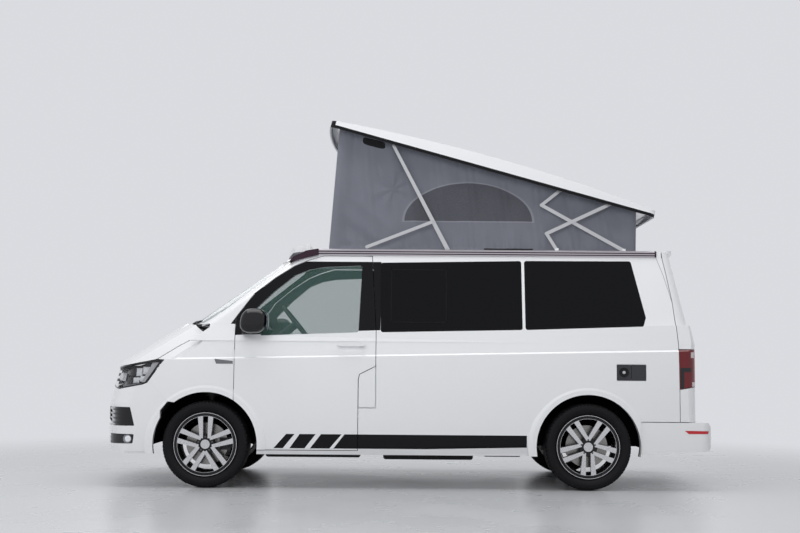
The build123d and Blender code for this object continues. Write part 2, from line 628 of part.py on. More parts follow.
LAMP_DEPTH = 90.0
lamp_prism = side_prism(HEADLAMP_OUTLINE, -1100, -LAMP_INNER_Y, shrink=PANEL_GAP / 2)
fog_prism = side_prism(FOG_SLOT, -1000, -640, shrink=SEAT_GAP, radius=9)
lamp_void = waist_form(6)
lamp_back = waist_form(LAMP_DEPTH)
fog_back = waist_form(31)
with BuildPart() as headlamps:
    # housings with a projector bowl, a row of reflector cells and a lower light blade
    for blank, back in ((lamp_prism, lamp_back), (fog_prism, fog_back)):
        with BuildPart(mode=Mode.PRIVATE) as housing:
            add(waist_form(7) & blank)
            add(back, mode=Mode.SUBTRACT)
        add(housing.part)
    mirror(headlamps.part, about=Plane.XZ)
write(headlamps, "headlamps")

with BuildPart() as lamp_lenses:
    for blank in (lamp_prism, fog_prism):
        with BuildPart(mode=Mode.PRIVATE) as lens:
            add(waist_outer & blank)
            add(lamp_void, mode=Mode.SUBTRACT)
        add(lens.part)
    mirror(lamp_lenses.part, about=Plane.XZ)
write(lamp_lenses, "lamp_lenses")

# rear bumper: its own plan outline, proud of the tailgate
REAR_BUMPER_TOP_Z = 534.0
REAR_BUMPER_X = 1867 - PANEL_GAP / 2 + SEAT_GAP
REAR_BUMPER_PROFILE = (
    (REAR_BUMPER_X, REAR_BUMPER_TOP_Z), (2395, REAR_BUMPER_TOP_Z), (2450, 468), (2452, 380), (2400, 312),
    (REAR_BUMPER_X, 282),
)
REAR_BUMPER_HALF_WIDTH = 938.0
REAR_BUMPER_SIDE_X = 2425.0
REAR_BUMPER_CORNER = 90.0


def rear_bumper_form(inset):
    """Bumper block bowed in plan with round corners."""
    with BuildPart(mode=Mode.PRIVATE) as form:
        with BuildSketch(Plane.XY.offset(200)) as plan:
            side_x, half = REAR_BUMPER_SIDE_X, REAR_BUMPER_HALF_WIDTH
            with BuildLine():
                Polyline((side_x, half), (1700, half), (1700, -half), (side_x, -half))
                ThreePointArc((side_x, -half), (BUMPER_TAIL_X, 0), (side_x, half))
            make_face()
            fillet(plan.vertices().sort_by(Axis.X)[-2:], REAR_BUMPER_CORNER)
            if inset:
                offset(amount=-inset, kind=Kind.INTERSECTION)
        extrude(amount=500)
        add(side_prism(REAR_BUMPER_PROFILE), mode=Mode.INTERSECT)
    return form.part


with BuildPart() as rear_bumper:
    add(rear_bumper_form(0))
    bumper_void = rear_bumper_form(45) & block(1700, 2600, -1000, 1000, 200, REAR_BUMPER_TOP_Z - 30)
    add(bumper_void, mode=Mode.SUBTRACT)
    add(block(1600, 2330, -800, 800, 200, 600), mode=Mode.SUBTRACT)
    add(arch_cuts[1], mode=Mode.SUBTRACT)
write(rear_bumper, "rear_bumper")

# ---------------------------------------------------------------- tailgate
SPOILER_PROFILE = ((2086, 1880), (2086, 1892), (2130, 1903), (2170, 1905), (2226, 1890), (2215, 1870))
TAIL_GLASS_OUTLINE = ((-740, 1265), (740, 1265), (640, 1800), (-640, 1800))
LAMP_OUTLINE = ((2160, 788), (2420, 832), (2420, 1109), (2160, 1109))
LAMP_WIDTH_Y = 770.0
tail_prism = side_prism(TAIL_SHUT + ((2600, 537), (2600, ROOF_Z + 12)), shrink=PANEL_GAP / 2)
tail_glass_cut = front_prism(TAIL_GLASS_OUTLINE, 2050, 2600, radius=50)
with BuildPart() as spoiler:
    add(extrude(rear_outline(1850, -985, 2226, 715, TAIL_RADIUS, 60, 0), amount=100, mode=Mode.PRIVATE))
    add(side_prism(SPOILER_PROFILE, -760, 760), mode=Mode.INTERSECT)
with BuildPart() as tailgate:
    add(body_outer & tail_prism)
    add(waist_inner, mode=Mode.SUBTRACT)
    add(house_roof_void, mode=Mode.SUBTRACT)
    add(tail_glass_cut, mode=Mode.SUBTRACT)
    add(spoiler.part)
    for y_low, y_high in ((-1100, -LAMP_WIDTH_Y), (LAMP_WIDTH_Y, 1100)):
        add(side_prism(LAMP_OUTLINE, y_low, y_high), mode=Mode.SUBTRACT)
    for y in HINGE_YS:
        add(block(TAIL_HINGE_X, TAIL_HINGE_X + 24, y, y + HINGE_WIDTH, 1878, TAIL_HINGE_Z + 5))
        add(cross_cylinder(TAIL_HINGE_X, TAIL_HINGE_Z, HINGE_PIN, y, y + HINGE_WIDTH))
    # number plate recess
    add(block(2340, 2600, -280, 280, 640, 800) - waist_form(22), mode=Mode.SUBTRACT)
write(tailgate, "tailgate")

with BuildPart() as tailgate_glass:
    add(front_prism(TAIL_GLASS_OUTLINE, 2050, 2600, shrink=SEAT_GAP, radius=50))
    add(greenhouse_form(GLASS_SET_BACK), mode=Mode.INTERSECT)
    add(greenhouse_form(GLASS_SET_BACK + GLASS_THICKNESS), mode=Mode.SUBTRACT)
write(tailgate_glass, "tailgate_glass")

lamp_side_prism = side_prism(TAIL_SHUT + ((2600, 537), (2600, ROOF_Z + 12)), shrink=SEAT_GAP - PANEL_GAP / 2)
with BuildPart() as tail_lamps:
    lamp_blank = side_prism(LAMP_OUTLINE, -1100, -LAMP_WIDTH_Y - PANEL_GAP, shrink=PANEL_GAP)
    add(waist_outer & lamp_blank & lamp_side_prism)
    add(waist_form(60), mode=Mode.SUBTRACT)
    mirror(tail_lamps.part, about=Plane.XZ)
write(tail_lamps, "tail_lamps")

# ---------------------------------------------------------------- pop-up roof lid
LID_CROWN_Z = 2012.0
LID_END_Z = 1948.0
LID_CORNER = 60.0


def raised(shape):
    """A shape of the closed lid, turned up to where the lid stands open."""
    return shape.rotate(Axis((POLE_X, 0, POLE_Z), (0, 1, 0)), LID_LIFT)


def raised_point(x, z):
    """A point of the closed lid, as (x, z), where the lid stands open."""
    angle = radians(LID_LIFT)
    dx, dz = x - POLE_X, z - POLE_Z
    return POLE_X + dx * cos(angle) + dz * sin(angle), POLE_Z - dx * sin(angle) + dz * cos(angle)


def lid_form(inset):
    """Closed lid as a solid block, drawn in by inset at the sides and top."""
    with BuildPart(mode=Mode.PRIVATE) as form:
        with BuildSketch(Plane.XY.offset(LID_LIP_Z)) as plan:
            with BuildLine():
                ThreePointArc(
                    (LID_FRONT_X, LID_HALF_WIDTH), (LID_FRONT_X - 33, 0), (LID_FRONT_X, -LID_HALF_WIDTH),
                )
                Polyline(
                    (LID_FRONT_X, -LID_HALF_WIDTH), (LID_REAR_X, -LID_HALF_WIDTH),
                    (LID_REAR_X, LID_HALF_WIDTH), (LID_FRONT_X, LID_HALF_WIDTH),
                )
            make_face()
            fillet(plan.vertices(), LID_CORNER)
            if inset:
                offset(amount=-inset, kind=Kind.INTERSECTION)
        extrude(amount=200)
        with BuildSketch(Plane.XZ.offset(-1000)):
            with BuildLine():
                ThreePointArc(
                    (-760, LID_END_Z - 4 - inset), (400, LID_CROWN_Z - inset), (2060, LID_END_Z - inset),
                )
                Polyline(
                    (2060, LID_END_Z - inset), (2060, LID_LIP_Z), (-760, LID_LIP_Z),
                    (-760, LID_END_Z - 4 - inset),
                )
            make_face()
        extrude(amount=2000, mode=Mode.INTERSECT)
    return form.part


lid_outer = lid_form(0)
lid_inner = lid_form(LID_SKIN)
with BuildPart() as lid_edge:
    # black seal round the lip, deeper at the front end
    add(block(-800, 2100, -700, 700, LID_LIP_Z, LID_LIP_Z + LID_SEAL_HEIGHT))
    add(block(-800, -664, -700, 700, LID_LIP_Z, LID_LIP_Z + 200))
with BuildPart() as lid_lugs:
    for (x, z), inner_y in (
        (LID_LINK_CLOSED, LID_LINK_LAYER - LUG - ROD_GAP),
        (CROSS_BAR_CLOSED, CROSS_BAR_LAYER + BAR_THICKNESS + ROD_GAP),
    ):
        for low in (inner_y, -inner_y - LUG):
            add(block(x - 14, x + 14, low, low + LUG, z - 12, LID_CROWN_Z))
with BuildPart() as pop_roof_lid:
    add(raised((lid_outer - lid_inner - lid_edge.part) + (lid_lugs.part & lid_form(LID_SKIN / 2))))
write(pop_roof_lid, "pop_roof_lid")
with BuildPart() as lid_seal:
    add(raised((lid_outer - lid_inner) & lid_edge.part))
write(lid_seal, "lid_seal")

# canvas: four closed walls from the roof skin to the underside of the lid
canvas_top = [raised_point(x, z) for x, z in ((-640, 1929), (400, 1990), (1900, 1946))]
with BuildPart() as roof_canvas:
    for inset, mode in ((0, Mode.ADD), (CANVAS_THICKNESS, Mode.SUBTRACT)):
        with BuildSketch(Plane.XZ.offset(-(CANVAS_HALF_WIDTH - inset))):
            (front_x, front_z), (middle_x, middle_z), (rear_x, rear_z) = canvas_top
            with BuildLine():
                Polyline(
                    (front_x + inset, front_z), (CANVAS_FRONT_X + inset, ROOF_Z), (CANVAS_REAR_X - inset, ROOF_Z),
                )
                Line((CANVAS_REAR_X - inset, ROOF_Z), (rear_x - inset, rear_z))
                ThreePointArc((rear_x - inset, rear_z), (middle_x, middle_z), (front_x + inset, front_z))
            make_face()
        extrude(amount=2 * (CANVAS_HALF_WIDTH - inset), mode=mode)
write(roof_canvas, "roof_canvas")

# ---------------------------------------------------------------- roof linkage, both sides alike
# closed bars lie flat along LINK_Z; each turns from its raised angle in step with the lid
LID_LINK_PIVOT = raised_point(*LID_LINK_CLOSED)
CROSS_BAR_PIVOT = raised_point(*CROSS_BAR_CLOSED)


def flat_bar(start, end, layer, thickness, start_width, end_width, bore=5.0):
    """Left-hand flat bar with round ends and a bore at its pivot, start."""
    length = hypot(end[0] - start[0], end[1] - start[1])
    angle = degrees(atan2(end[1] - start[1], end[0] - start[0]))
    with BuildPart(mode=Mode.PRIVATE) as bar:
        with BuildSketch(Plane.XZ.offset(layer)):
            with Locations(Location((start[0], start[1], 0), (0, 0, angle))):
                Polygon(
                    (0, start_width / 2), (length, end_width / 2),
                    (length, -end_width / 2), (0, -start_width / 2),
                    align=None,
                )
            with Locations(start):
                Circle(start_width / 2)
            with Locations(end):
                Circle(end_width / 2)
            with Locations(start):
                Circle(bore, mode=Mode.SUBTRACT)
        extrude(amount=thickness)
    return bar.part


def write_both_sides(bar, name):
    """Left bar and its mirror image as one piece."""
    with BuildPart(mode=Mode.PRIVATE) as pair:
        add(bar)
        mirror(bar, about=Plane.XZ)
    write(pair, name)


write_both_sides(flat_bar(STRUT_PIVOT, STRUT_TOP, STRUT_LAYER, STRUT_THICKNESS, 34, 24), "front_struts")
write_both_sides(flat_bar(BRACE_PIVOT, BRACE_FOOT, BRACE_LAYER, BAR_THICKNESS, 26, 26), "strut_braces")
write_both_sides(flat_bar(REAR_BAR_PIVOT, REAR_BAR_TOP, REAR_BAR_LAYER, BAR_THICKNESS, 28, 28), "rear_bars")
write_both_sides(flat_bar(LID_LINK_PIVOT, REAR_BAR_TOP, LID_LINK_LAYER, BAR_THICKNESS, 26, 26), "lid_links")
cross_bar = flat_bar(CROSS_BAR_PIVOT, CROSS_BAR_FOOT, CROSS_BAR_LAYER, BAR_THICKNESS, 28, 28)
roof_link = flat_bar(ROOF_LINK_PIVOT, CROSS_BAR_FOOT, ROOF_LINK_LAYER, BAR_THICKNESS, 26, 26)
write_both_sides(cross_bar, "cross_bars")
write_both_sides(roof_link, "roof_links")

# ---------------------------------------------------------------- wheels
WHEEL_Y = TRACK / 2
TYRE_OUTER_Y = WHEEL_Y + TYRE_WIDTH / 2
TREAD_HALF = TYRE_WIDTH / 2 - 12
RIM_FACE = 108.0
HUB_FACE = 96.0
SPOKE_BACK = 60.0
# a wheel is drawn round the vertical axis, outer face up, then laid on its side
SPOKE_HUB_OFFSET = 31.0
SPOKE_RIM_OFFSET = 42.0
SPOKE_HUB_WIDTH = 26.0
SPOKE_RIM_WIDTH = 42.0

with BuildPart() as wheel:
    # barrel with bead seats and flanges, revolved; x is radius, y is height along the axle
    with BuildSketch(Plane.XZ):
        Polygon(
            (BEAD_RADIUS - 10, RIM_FACE), (RIM_RADIUS, RIM_FACE),
            (RIM_RADIUS, RIM_FACE - 12), (BEAD_RADIUS, RIM_FACE - 20),
            (BEAD_RADIUS, RIM_FACE - 55), (BEAD_RADIUS - 16, RIM_FACE - 85), (BEAD_RADIUS - 12, -85),
            (BEAD_RADIUS, -92), (RIM_RADIUS, -104), (RIM_RADIUS, -112), (BEAD_RADIUS - 10, -112),
            (BEAD_RADIUS - 22, -85), (BEAD_RADIUS - 26, RIM_FACE - 85), (BEAD_RADIUS - 14, RIM_FACE - 40),
            align=None,
        )
    revolve(axis=Axis.Z)
    # hub with its centre bore
    with BuildSketch(Plane.XY.offset(SPOKE_BACK)):
        Circle(HUB_RADIUS + 12)
    extrude(amount=HUB_FACE - SPOKE_BACK)
    # twin spokes, each pair parting slightly towards the rim
    with BuildSketch(Plane.XY.offset(SPOKE_BACK)):
        with PolarLocations(0, SPOKE_PAIRS, start_angle=90):
            for hand in (-1, 1):
                Polygon(
                    (HUB_RADIUS - 12, hand * (SPOKE_HUB_OFFSET - SPOKE_HUB_WIDTH / 2)),
                    (BEAD_RADIUS + 6, hand * (SPOKE_RIM_OFFSET - SPOKE_RIM_WIDTH / 2)),
                    (BEAD_RADIUS + 6, hand * (SPOKE_RIM_OFFSET + SPOKE_RIM_WIDTH / 2)),
                    (HUB_RADIUS - 12, hand * (SPOKE_HUB_OFFSET + SPOKE_HUB_WIDTH / 2)),
                    align=None,
                )
        Circle(BEAD_RADIUS - 7, mode=Mode.INTERSECT)
    extrude(amount=RIM_FACE - SPOKE_BACK - 4)
    with BuildSketch(Plane.XY.offset(HUB_FACE - 6)):
        Circle(HUB_RADIUS - 22)
    extrude(amount=14, mode=Mode.ADD)
    # brake disc on the hub's back
    with BuildSketch(Plane.XY):
        Circle(HUB_RADIUS + 20)
    extrude(amount=SPOKE_BACK)
    with BuildSketch(Plane.XY):
        Circle(DISC_RADIUS)
    extrude(amount=-DISC_THICKNESS)
    with BuildSketch(Plane.XY.offset(-DISC_THICKNESS)):
        Circle(34)
    extrude(amount=DISC_THICKNESS, mode=Mode.SUBTRACT)

with BuildPart() as tyre:
    with BuildSketch(Plane.XZ) as tyre_section:
        half = TYRE_WIDTH / 2
        rib = TYRE_RADIUS - 14
        with BuildLine():
            Line((BEAD_RADIUS + 0.2, RIM_FACE - 20.6), (RIM_RADIUS + 6, RIM_FACE - 12.4))
            ThreePointArc((RIM_RADIUS + 6, RIM_FACE - 12.4), (RIM_RADIUS + 42, half), (rib, TREAD_HALF + 3))
            ThreePointArc((rib, TREAD_HALF + 3), (rib + 10, TREAD_HALF - 8), (TYRE_RADIUS, TREAD_HALF - 24))
            Line((TYRE_RADIUS, TREAD_HALF - 24), (TYRE_RADIUS, 24 - TREAD_HALF))
            ThreePointArc((TYRE_RADIUS, 24 - TREAD_HALF), (rib + 10, 8 - TREAD_HALF), (rib, -TREAD_HALF - 3))
            ThreePointArc((rib, -TREAD_HALF - 3), (RIM_RADIUS + 42, -half), (RIM_RADIUS + 6, -105))
            Polyline(
                (RIM_RADIUS + 6, -105), (BEAD_RADIUS + 0.2, -91.4), (BEAD_RADIUS + 0.2, -72),
                (TYRE_RADIUS - 26, -TREAD_HALF + 4),
            )
            Polyline(
                (TYRE_RADIUS - 26, -TREAD_HALF + 4), (TYRE_RADIUS - 26, TREAD_HALF - 4),
                (BEAD_RADIUS + 0.2, 70), (BEAD_RADIUS + 0.2, RIM_FACE - 20.6),
            )
        make_face()
    revolve(axis=Axis.Z)

# place of each wheel: name, axle x, side, turn about the axle
WHEELS = (
    ("front_left", FRONT_AXLE_X, LEFT, 0.0),
    ("front_right", FRONT_AXLE_X, RIGHT, 0.0),
    ("rear_left", REAR_AXLE_X, LEFT, 36.0),
    ("rear_right", REAR_AXLE_X, RIGHT, 36.0),
)
for corner, axle_x, side, turn in WHEELS:
    # outer face up becomes outer face outboard
    placing = Pos(axle_x, side * WHEEL_Y, WHEEL_Z) * Rot(-90 * side, 0, 0) * Rot(0, 0, turn)
    with BuildPart() as placed_wheel:
        add(wheel.part.moved(placing))
    write(placed_wheel, f"rim_{corner}")
    with BuildPart() as placed_tyre:
        add(tyre.part.moved(placing))
    write(placed_tyre, f"tyre_{corner}")

# ---------------------------------------------------------------- axles and steering knuckles
KNUCKLE_Y = WHEEL_Y - DISC_THICKNESS - 8
KNUCKLE_THICKNESS = 40.0
KINGPIN_Y = KNUCKLE_Y - KNUCKLE_THICKNESS / 2
STUB_RADIUS = 33.6
ARM_TOP_Z = 283.0
RAIL_Z = 390.0
RAIL_Y = 400.0
RAIL_WIDTH = 60.0
# caliper: radii of its bridge over the disc's edge, half height, thickness of its outer jaw
CALIPER_INNER = DISC_RADIUS + 7
CALIPER_OUTER = 190.0
CALIPER_HALF = 46.0
JAW_THICKNESS = 24.0
with BuildPart() as knuckle:
    # upright with its stub axle, and the caliper over the disc's rear edge
    with BuildSketch(Plane.XZ.offset(KNUCKLE_Y)):
        with Locations((FRONT_AXLE_X, WHEEL_Z)):
            Circle(66)
        Polygon(
            (FRONT_AXLE_X - 28, ARM_TOP_Z + SEAT_GAP), (FRONT_AXLE_X + 28, ARM_TOP_Z + SEAT_GAP),
            (FRONT_AXLE_X + 32, WHEEL_Z + 170), (FRONT_AXLE_X - 32, WHEEL_Z + 170), align=None,
        )
        Polygon(
            (FRONT_AXLE_X, WHEEL_Z - 10), (FRONT_AXLE_X + CALIPER_OUTER, WHEEL_Z - 30),
            (FRONT_AXLE_X + CALIPER_OUTER, WHEEL_Z + 40), (FRONT_AXLE_X, WHEEL_Z + 40), align=None,
        )
        # the ball joint's flat lower face
        with Locations((FRONT_AXLE_X, ARM_TOP_Z + SEAT_GAP - 50)):
            Rectangle(200, 100, mode=Mode.SUBTRACT)
    extrude(amount=-KNUCKLE_THICKNESS)
    with BuildSketch(Plane.XZ.offset(KNUCKLE_Y - 1)):
        with Locations((FRONT_AXLE_X, WHEEL_Z)):
            Circle(STUB_RADIUS)
    extrude(amount=DISC_THICKNESS + 8)
    with BuildSketch(Plane.XZ.offset(KNUCKLE_Y - KNUCKLE_THICKNESS)):
        Polygon(
            (FRONT_AXLE_X + CALIPER_INNER, WHEEL_Z - CALIPER_HALF - 16),
            (FRONT_AXLE_X + CALIPER_OUTER, WHEEL_Z - CALIPER_HALF),
            (FRONT_AXLE_X + CALIPER_OUTER, WHEEL_Z + CALIPER_HALF),
            (FRONT_AXLE_X + CALIPER_INNER, WHEEL_Z + CALIPER_HALF + 16),
            align=None,
        )
    extrude(amount=WHEEL_Y + 6 + JAW_THICKNESS - KNUCKLE_Y + KNUCKLE_THICKNESS)
    with BuildSketch(Plane.XZ.offset(WHEEL_Y + 6)):
        with Locations((FRONT_AXLE_X + 146, WHEEL_Z)):
            Rectangle(88, 2 * CALIPER_HALF)
    extrude(amount=JAW_THICKNESS)
write_pair(knuckle, "front_knuckle")

SPRING_Y = 600.0
TOWER_Z = 755.0
with BuildPart() as front_subframe:
    # cross member under the rails, lower arms out to the ball joints, spring struts up to the towers
    add(block(FRONT_AXLE_X - 90, FRONT_AXLE_X + 150, -430, 430, 236, 300))
    for side in (LEFT, RIGHT):
        low, high = sorted((side * (RAIL_Y - RAIL_WIDTH / 2), side * (RAIL_Y + RAIL_WIDTH / 2)))
        add(block(FRONT_AXLE_X - 60, FRONT_AXLE_X + 120, low, high, 290, RAIL_Z - SEAT_GAP))
        with BuildSketch(Plane.XY.offset(ARM_TOP_Z - 60)):
            Polygon(
                (FRONT_AXLE_X - 25, side * (KNUCKLE_Y - 8)), (FRONT_AXLE_X + 25, side * (KNUCKLE_Y - 8)),
                (FRONT_AXLE_X + 60, side * 680), (FRONT_AXLE_X + 150, side * 400),
                (FRONT_AXLE_X - 80, side * 400),
                (FRONT_AXLE_X - 50, side * 680), align=None,
            )
        extrude(amount=60)
        add(post(FRONT_AXLE_X, side * SPRING_Y, ARM_TOP_Z - 20, TOWER_Z - 10, 26))
        add(post(FRONT_AXLE_X, side * SPRING_Y, TOWER_Z - 50, TOWER_Z, 60))
write(front_subframe, "front_subframe")

with BuildPart() as rear_axle:
    # cross member, trailing arms, hub carriers with stub axles, and coil springs
    add(block(REAR_AXLE_X - 330, REAR_AXLE_X - 250, -520, 520, 325, RAIL_Z - SEAT_GAP))
    for side in (LEFT, RIGHT):
        inner, outer = side * 500, side * (WHEEL_Y - 70)
        low, high = sorted((inner, side * 620))
        add(block(REAR_AXLE_X - 340, REAR_AXLE_X + 40, low, high, WHEEL_Z - 45, WHEEL_Z + 35))
        low, high = sorted((side * 600, outer))
        add(block(REAR_AXLE_X - 50, REAR_AXLE_X + 40, low, high, WHEEL_Z - 40, WHEEL_Z + 30))
        low, high = sorted((side * (WHEEL_Y - 100), side * KNUCKLE_Y))
        add(cross_cylinder(REAR_AXLE_X, WHEEL_Z, 66, low, high))
        low, high = sorted((side * (WHEEL_Y - 90), side * (WHEEL_Y - 1)))
        add(cross_cylinder(REAR_AXLE_X, WHEEL_Z, STUB_RADIUS, low, high))
        add(post(REAR_AXLE_X - 170, side * 560, 340, FLOOR_Z - FLOOR_THICKNESS - SEAT_GAP, 52))
write(rear_axle, "rear_axle")

# ---------------------------------------------------------------- floor, bulkhead and wheel houses
LINER_THICKNESS = 10.0
LINER_RADIUS = ARCH_RADIUS + 14
FRONT_HOUSE_INNER_Y = 500.0
REAR_HOUSE_INNER_Y = 640.0
BULKHEAD_X = -1480.0
HOUSE_LOW_Z = 330.0
cabin = waist_form(WALL + SEAT_GAP)


def wheel_drums(x, inner_y, radius):
    """Upper halves of two cylinders on the axle at x, from inner_y outwards on each side."""
    above = block(x - 500, x + 500, -1000, 1000, HOUSE_LOW_Z, 900)
    left = cross_cylinder(x, WHEEL_Z, radius, -1000, -inner_y)
    right = cross_cylinder(x, WHEEL_Z, radius, inner_y, 1000)
    return [above & left, above & right]


def wheel_houses(x, inner_y):
    """Liners over an axle's two wheels: drums closed at the inner end and open to the road."""
    with BuildPart(mode=Mode.PRIVATE) as houses:
        for drum in wheel_drums(x, inner_y - LINER_THICKNESS, LINER_RADIUS + LINER_THICKNESS):
            add(cabin & drum)
        for drum in wheel_drums(x, inner_y, LINER_RADIUS):
            add(drum, mode=Mode.SUBTRACT)
        # slots in the rear houses for the hub arms, and room inside the front doors
        add(block(REAR_AXLE_X - 62, REAR_AXLE_X + 52, -700, 700, 200, WHEEL_Z + 45), mode=Mode.SUBTRACT)
        add(door_room, mode=Mode.SUBTRACT)
    return houses


door_room_y = HALF_WIDTH - WALL - 7
door_room = block(-1330, -343, -1000, -door_room_y, 200, 1200) + block(-1330, -343, door_room_y, 1000, 200, 1200)
front_houses = wheel_houses(FRONT_AXLE_X, FRONT_HOUSE_INNER_Y)
rear_houses = wheel_houses(REAR_AXLE_X, REAR_HOUSE_INNER_Y)
write(front_houses, "front_wheel_houses")
write(rear_houses, "rear_wheel_houses")

house_wall = LINER_THICKNESS + SEAT_GAP
with BuildPart() as floor_pan:
    add(block(-1560, 2150, -1000, 1000, FLOOR_Z - FLOOR_THICKNESS, FLOOR_Z))
    add(block(BULKHEAD_X - 25, BULKHEAD_X, -1000, 1000, FLOOR_Z - FLOOR_THICKNESS, 1120))
    for y in (-RAIL_Y, RAIL_Y):
        add(block(-2200, 2300, y - RAIL_WIDTH / 2, y + RAIL_WIDTH / 2, RAIL_Z, FLOOR_Z - FLOOR_THICKNESS + 1))
    for x, inner_y in ((FRONT_AXLE_X, FRONT_HOUSE_INNER_Y), (REAR_AXLE_X, REAR_HOUSE_INNER_Y)):
        for drum in wheel_drums(x, inner_y - house_wall, LINER_RADIUS + house_wall):
            add(drum, mode=Mode.SUBTRACT)
    add(block(-2600, 2600, -1100, 1100, -200, HOUSE_LOW_Z), mode=Mode.SUBTRACT)
    add(cabin, mode=Mode.INTERSECT)
    add(door_room, mode=Mode.SUBTRACT)
write(floor_pan, "floor_pan")

# ---------------------------------------------------------------- units under the floor
with BuildPart() as engine_block:
    engine_half = RAIL_Y - RAIL_WIDTH / 2 - SEAT_GAP
    add(block(-2180, -1700, -engine_half, engine_half, 400, 900))
write(engine_block, "engine_block")

with BuildPart() as underfloor_tanks:
    # fuel tank, fresh and waste water tanks, hung from the floor
    for x_low, x_high, y_low, y_high, z_low in (
        (-1080, -330, -820, -460, 236), (-150, 560, -800, -460, 222), (640, 940, -820, -460, 250),
        (-300, 620, 460, 800, 236),
    ):
        tank = block(x_low, x_high, y_low, y_high, z_low, FLOOR_Z - FLOOR_THICKNESS - SEAT_GAP)
        add(tank.fillet(22, tank.edges().group_by(Axis.Z)[0]))
write(underfloor_tanks, "underfloor_tanks")

PIPE_RADIUS = 30.0
with BuildPart() as exhaust:
    with BuildLine() as route:
        FilletPolyline(
            (-1690, 150, 400), (-1300, 150, 340), (900, 150, 290), (1120, 300, 285), (1560, 300, 285),
            (1900, 560, 300), (2300, 560, 285), radius=60,
        )
    with BuildSketch(Plane(origin=route.line @ 0, z_dir=route.line % 0)):
        Circle(PIPE_RADIUS)
    sweep()
    add(Pos(250, 150, 310) * Rot(0, 90, 0) * Cylinder(75, 620, mode=Mode.PRIVATE))
    for x in (120, 380):
        add(block(x - 15, x + 15, 140, 160, 370, FLOOR_Z - FLOOR_THICKNESS - SEAT_GAP))
write(exhaust, "exhaust")

# ---------------------------------------------------------------- cab and living space
cabin_room = greenhouse_form(WALL + 10) + waist_form(WALL + 6)
cabin_room += block(-1500, -1000, -JOIN_HALF_WIDTH + 10, JOIN_HALF_WIDTH - 10, JOIN_LOW_Z, WAIST_Z + 1)
DASH_PROFILE = (
    (BULKHEAD_X + SEAT_GAP, 800), (BULKHEAD_X + SEAT_GAP, 1252), (-1420, 1262), (-1250, 1258), (-1150, 1215),
    (-1120, 1090), (-1190, 840), (-1290, 800),
)
POD_PROFILE = ((-1330, 1240), (-1130, 1190), (-1095, 1250), (-1130, 1292), (-1280, 1285))
with BuildPart() as dashboard:
    # full-width moulding, with a pod over the instruments ahead of the driver
    add(side_prism(DASH_PROFILE, -870, 870))
    add(side_prism(POD_PROFILE, -600, -260))
    for y_low, y_high in ((-200, 200), (330, 780)):
        add(block(-1160, -1000, y_low, y_high, 1110, 1180), mode=Mode.SUBTRACT)
    add(cabin_room, mode=Mode.INTERSECT)
write(dashboard, "dashboard")

DRIVER_Y = -430.0
COLUMN_RISE = 39.0
WHEEL_CENTRE_X = -881.0
WHEEL_CENTRE_Z = 1303.0
STEERING_RADIUS = 190.0
STEERING_GRIP = 13.0
wheel_plane = Plane(
    origin=(WHEEL_CENTRE_X, DRIVER_Y, WHEEL_CENTRE_Z), x_dir=(0, 1, 0),
    z_dir=(cos(radians(COLUMN_RISE)), 0, sin(radians(COLUMN_RISE))),
)
with BuildPart() as steering_wheel:
    # round rim on three spokes and a boss, and the column down into the dashboard
    add(wheel_plane.location * Torus(STEERING_RADIUS - STEERING_GRIP, STEERING_GRIP, mode=Mode.PRIVATE))
    with BuildSketch(wheel_plane.offset(-8)):
        Circle(62)
        for angle in (0, 180, 90):
            with Locations(Location((0, 0, 0), (0, 0, angle))):
                with Locations((100, 0)):
                    Rectangle(140, 34)
    extrude(amount=12)
    with BuildSketch(wheel_plane.offset(-2)):
        Circle(32)
    extrude(amount=-300)
    add(dashboard.part, mode=Mode.SUBTRACT)
write(steering_wheel, "steering_wheel")

SEAT_WIDTH = 500.0
with BuildPart() as front_seats:
    # box, cushion, backrest and head restraint, as one moulding per seat
    for y in (DRIVER_Y, -DRIVER_Y):
        add(block(-760, -330, y - 190, y + 190, FLOOR_Z + SEAT_GAP, 790))
        cushion = block(-840, -290, y - SEAT_WIDTH / 2, y + SEAT_WIDTH / 2, 780, 925)
        add(cushion.fillet(40, cushion.edges().filter_by(Axis.Y)))
        add(side_prism(((-420, 880), (-270, 880), (-180, 1440), (-280, 1452)), y - 225, y + 225, radius=40))
        add(side_prism(((-262, 1425), (-205, 1425), (-190, 1610), (-270, 1620)), y - 130, y + 130, radius=20))
write(front_seats, "front_seats")

with BuildPart() as rear_bench:
    # two-seat bench that folds flat in use, with the boot shelf behind it
    add(block(620, 1120, -400, 600, FLOOR_Z + SEAT_GAP, 810))
    bench = block(590, 1160, -400, 620, 800, 940)
    add(bench.fillet(40, bench.edges().filter_by(Axis.Y)))
    add(side_prism(((1090, 880), (1240, 880), (1330, 1480), (1230, 1500)), -400, 620, radius=45))
write(rear_bench, "rear_bench")

CABINET_TOP_Z = 1150.0
with BuildPart() as kitchen_cabinet:
    # galley along the left wall: worktop, plinth and hollow carcass open above the hob and sink
    add(block(-60, 1860, -1000, -500, FLOOR_Z + SEAT_GAP, CABINET_TOP_Z))
    add(block(-30, 580, -860, -530, FLOOR_Z + 40, CABINET_TOP_Z - 30), mode=Mode.SUBTRACT)
    add(block(610, 960, -860, -530, FLOOR_Z + 40, CABINET_TOP_Z - 30), mode=Mode.SUBTRACT)
    add(block(100, 480, -800, -560, CABINET_TOP_Z - 60, CABINET_TOP_Z + 10), mode=Mode.SUBTRACT)
    add(block(640, 930, -800, -560, CABINET_TOP_Z - 60, CABINET_TOP_Z + 10), mode=Mode.SUBTRACT)
    niche_radius = LINER_RADIUS + LINER_THICKNESS + 2
    niche = cross_cylinder(REAR_AXLE_X, WHEEL_Z, niche_radius, -1000, -REAR_HOUSE_INNER_Y + 20)
    add(niche, mode=Mode.SUBTRACT)
    add(waist_form(WALL + 1), mode=Mode.INTERSECT)
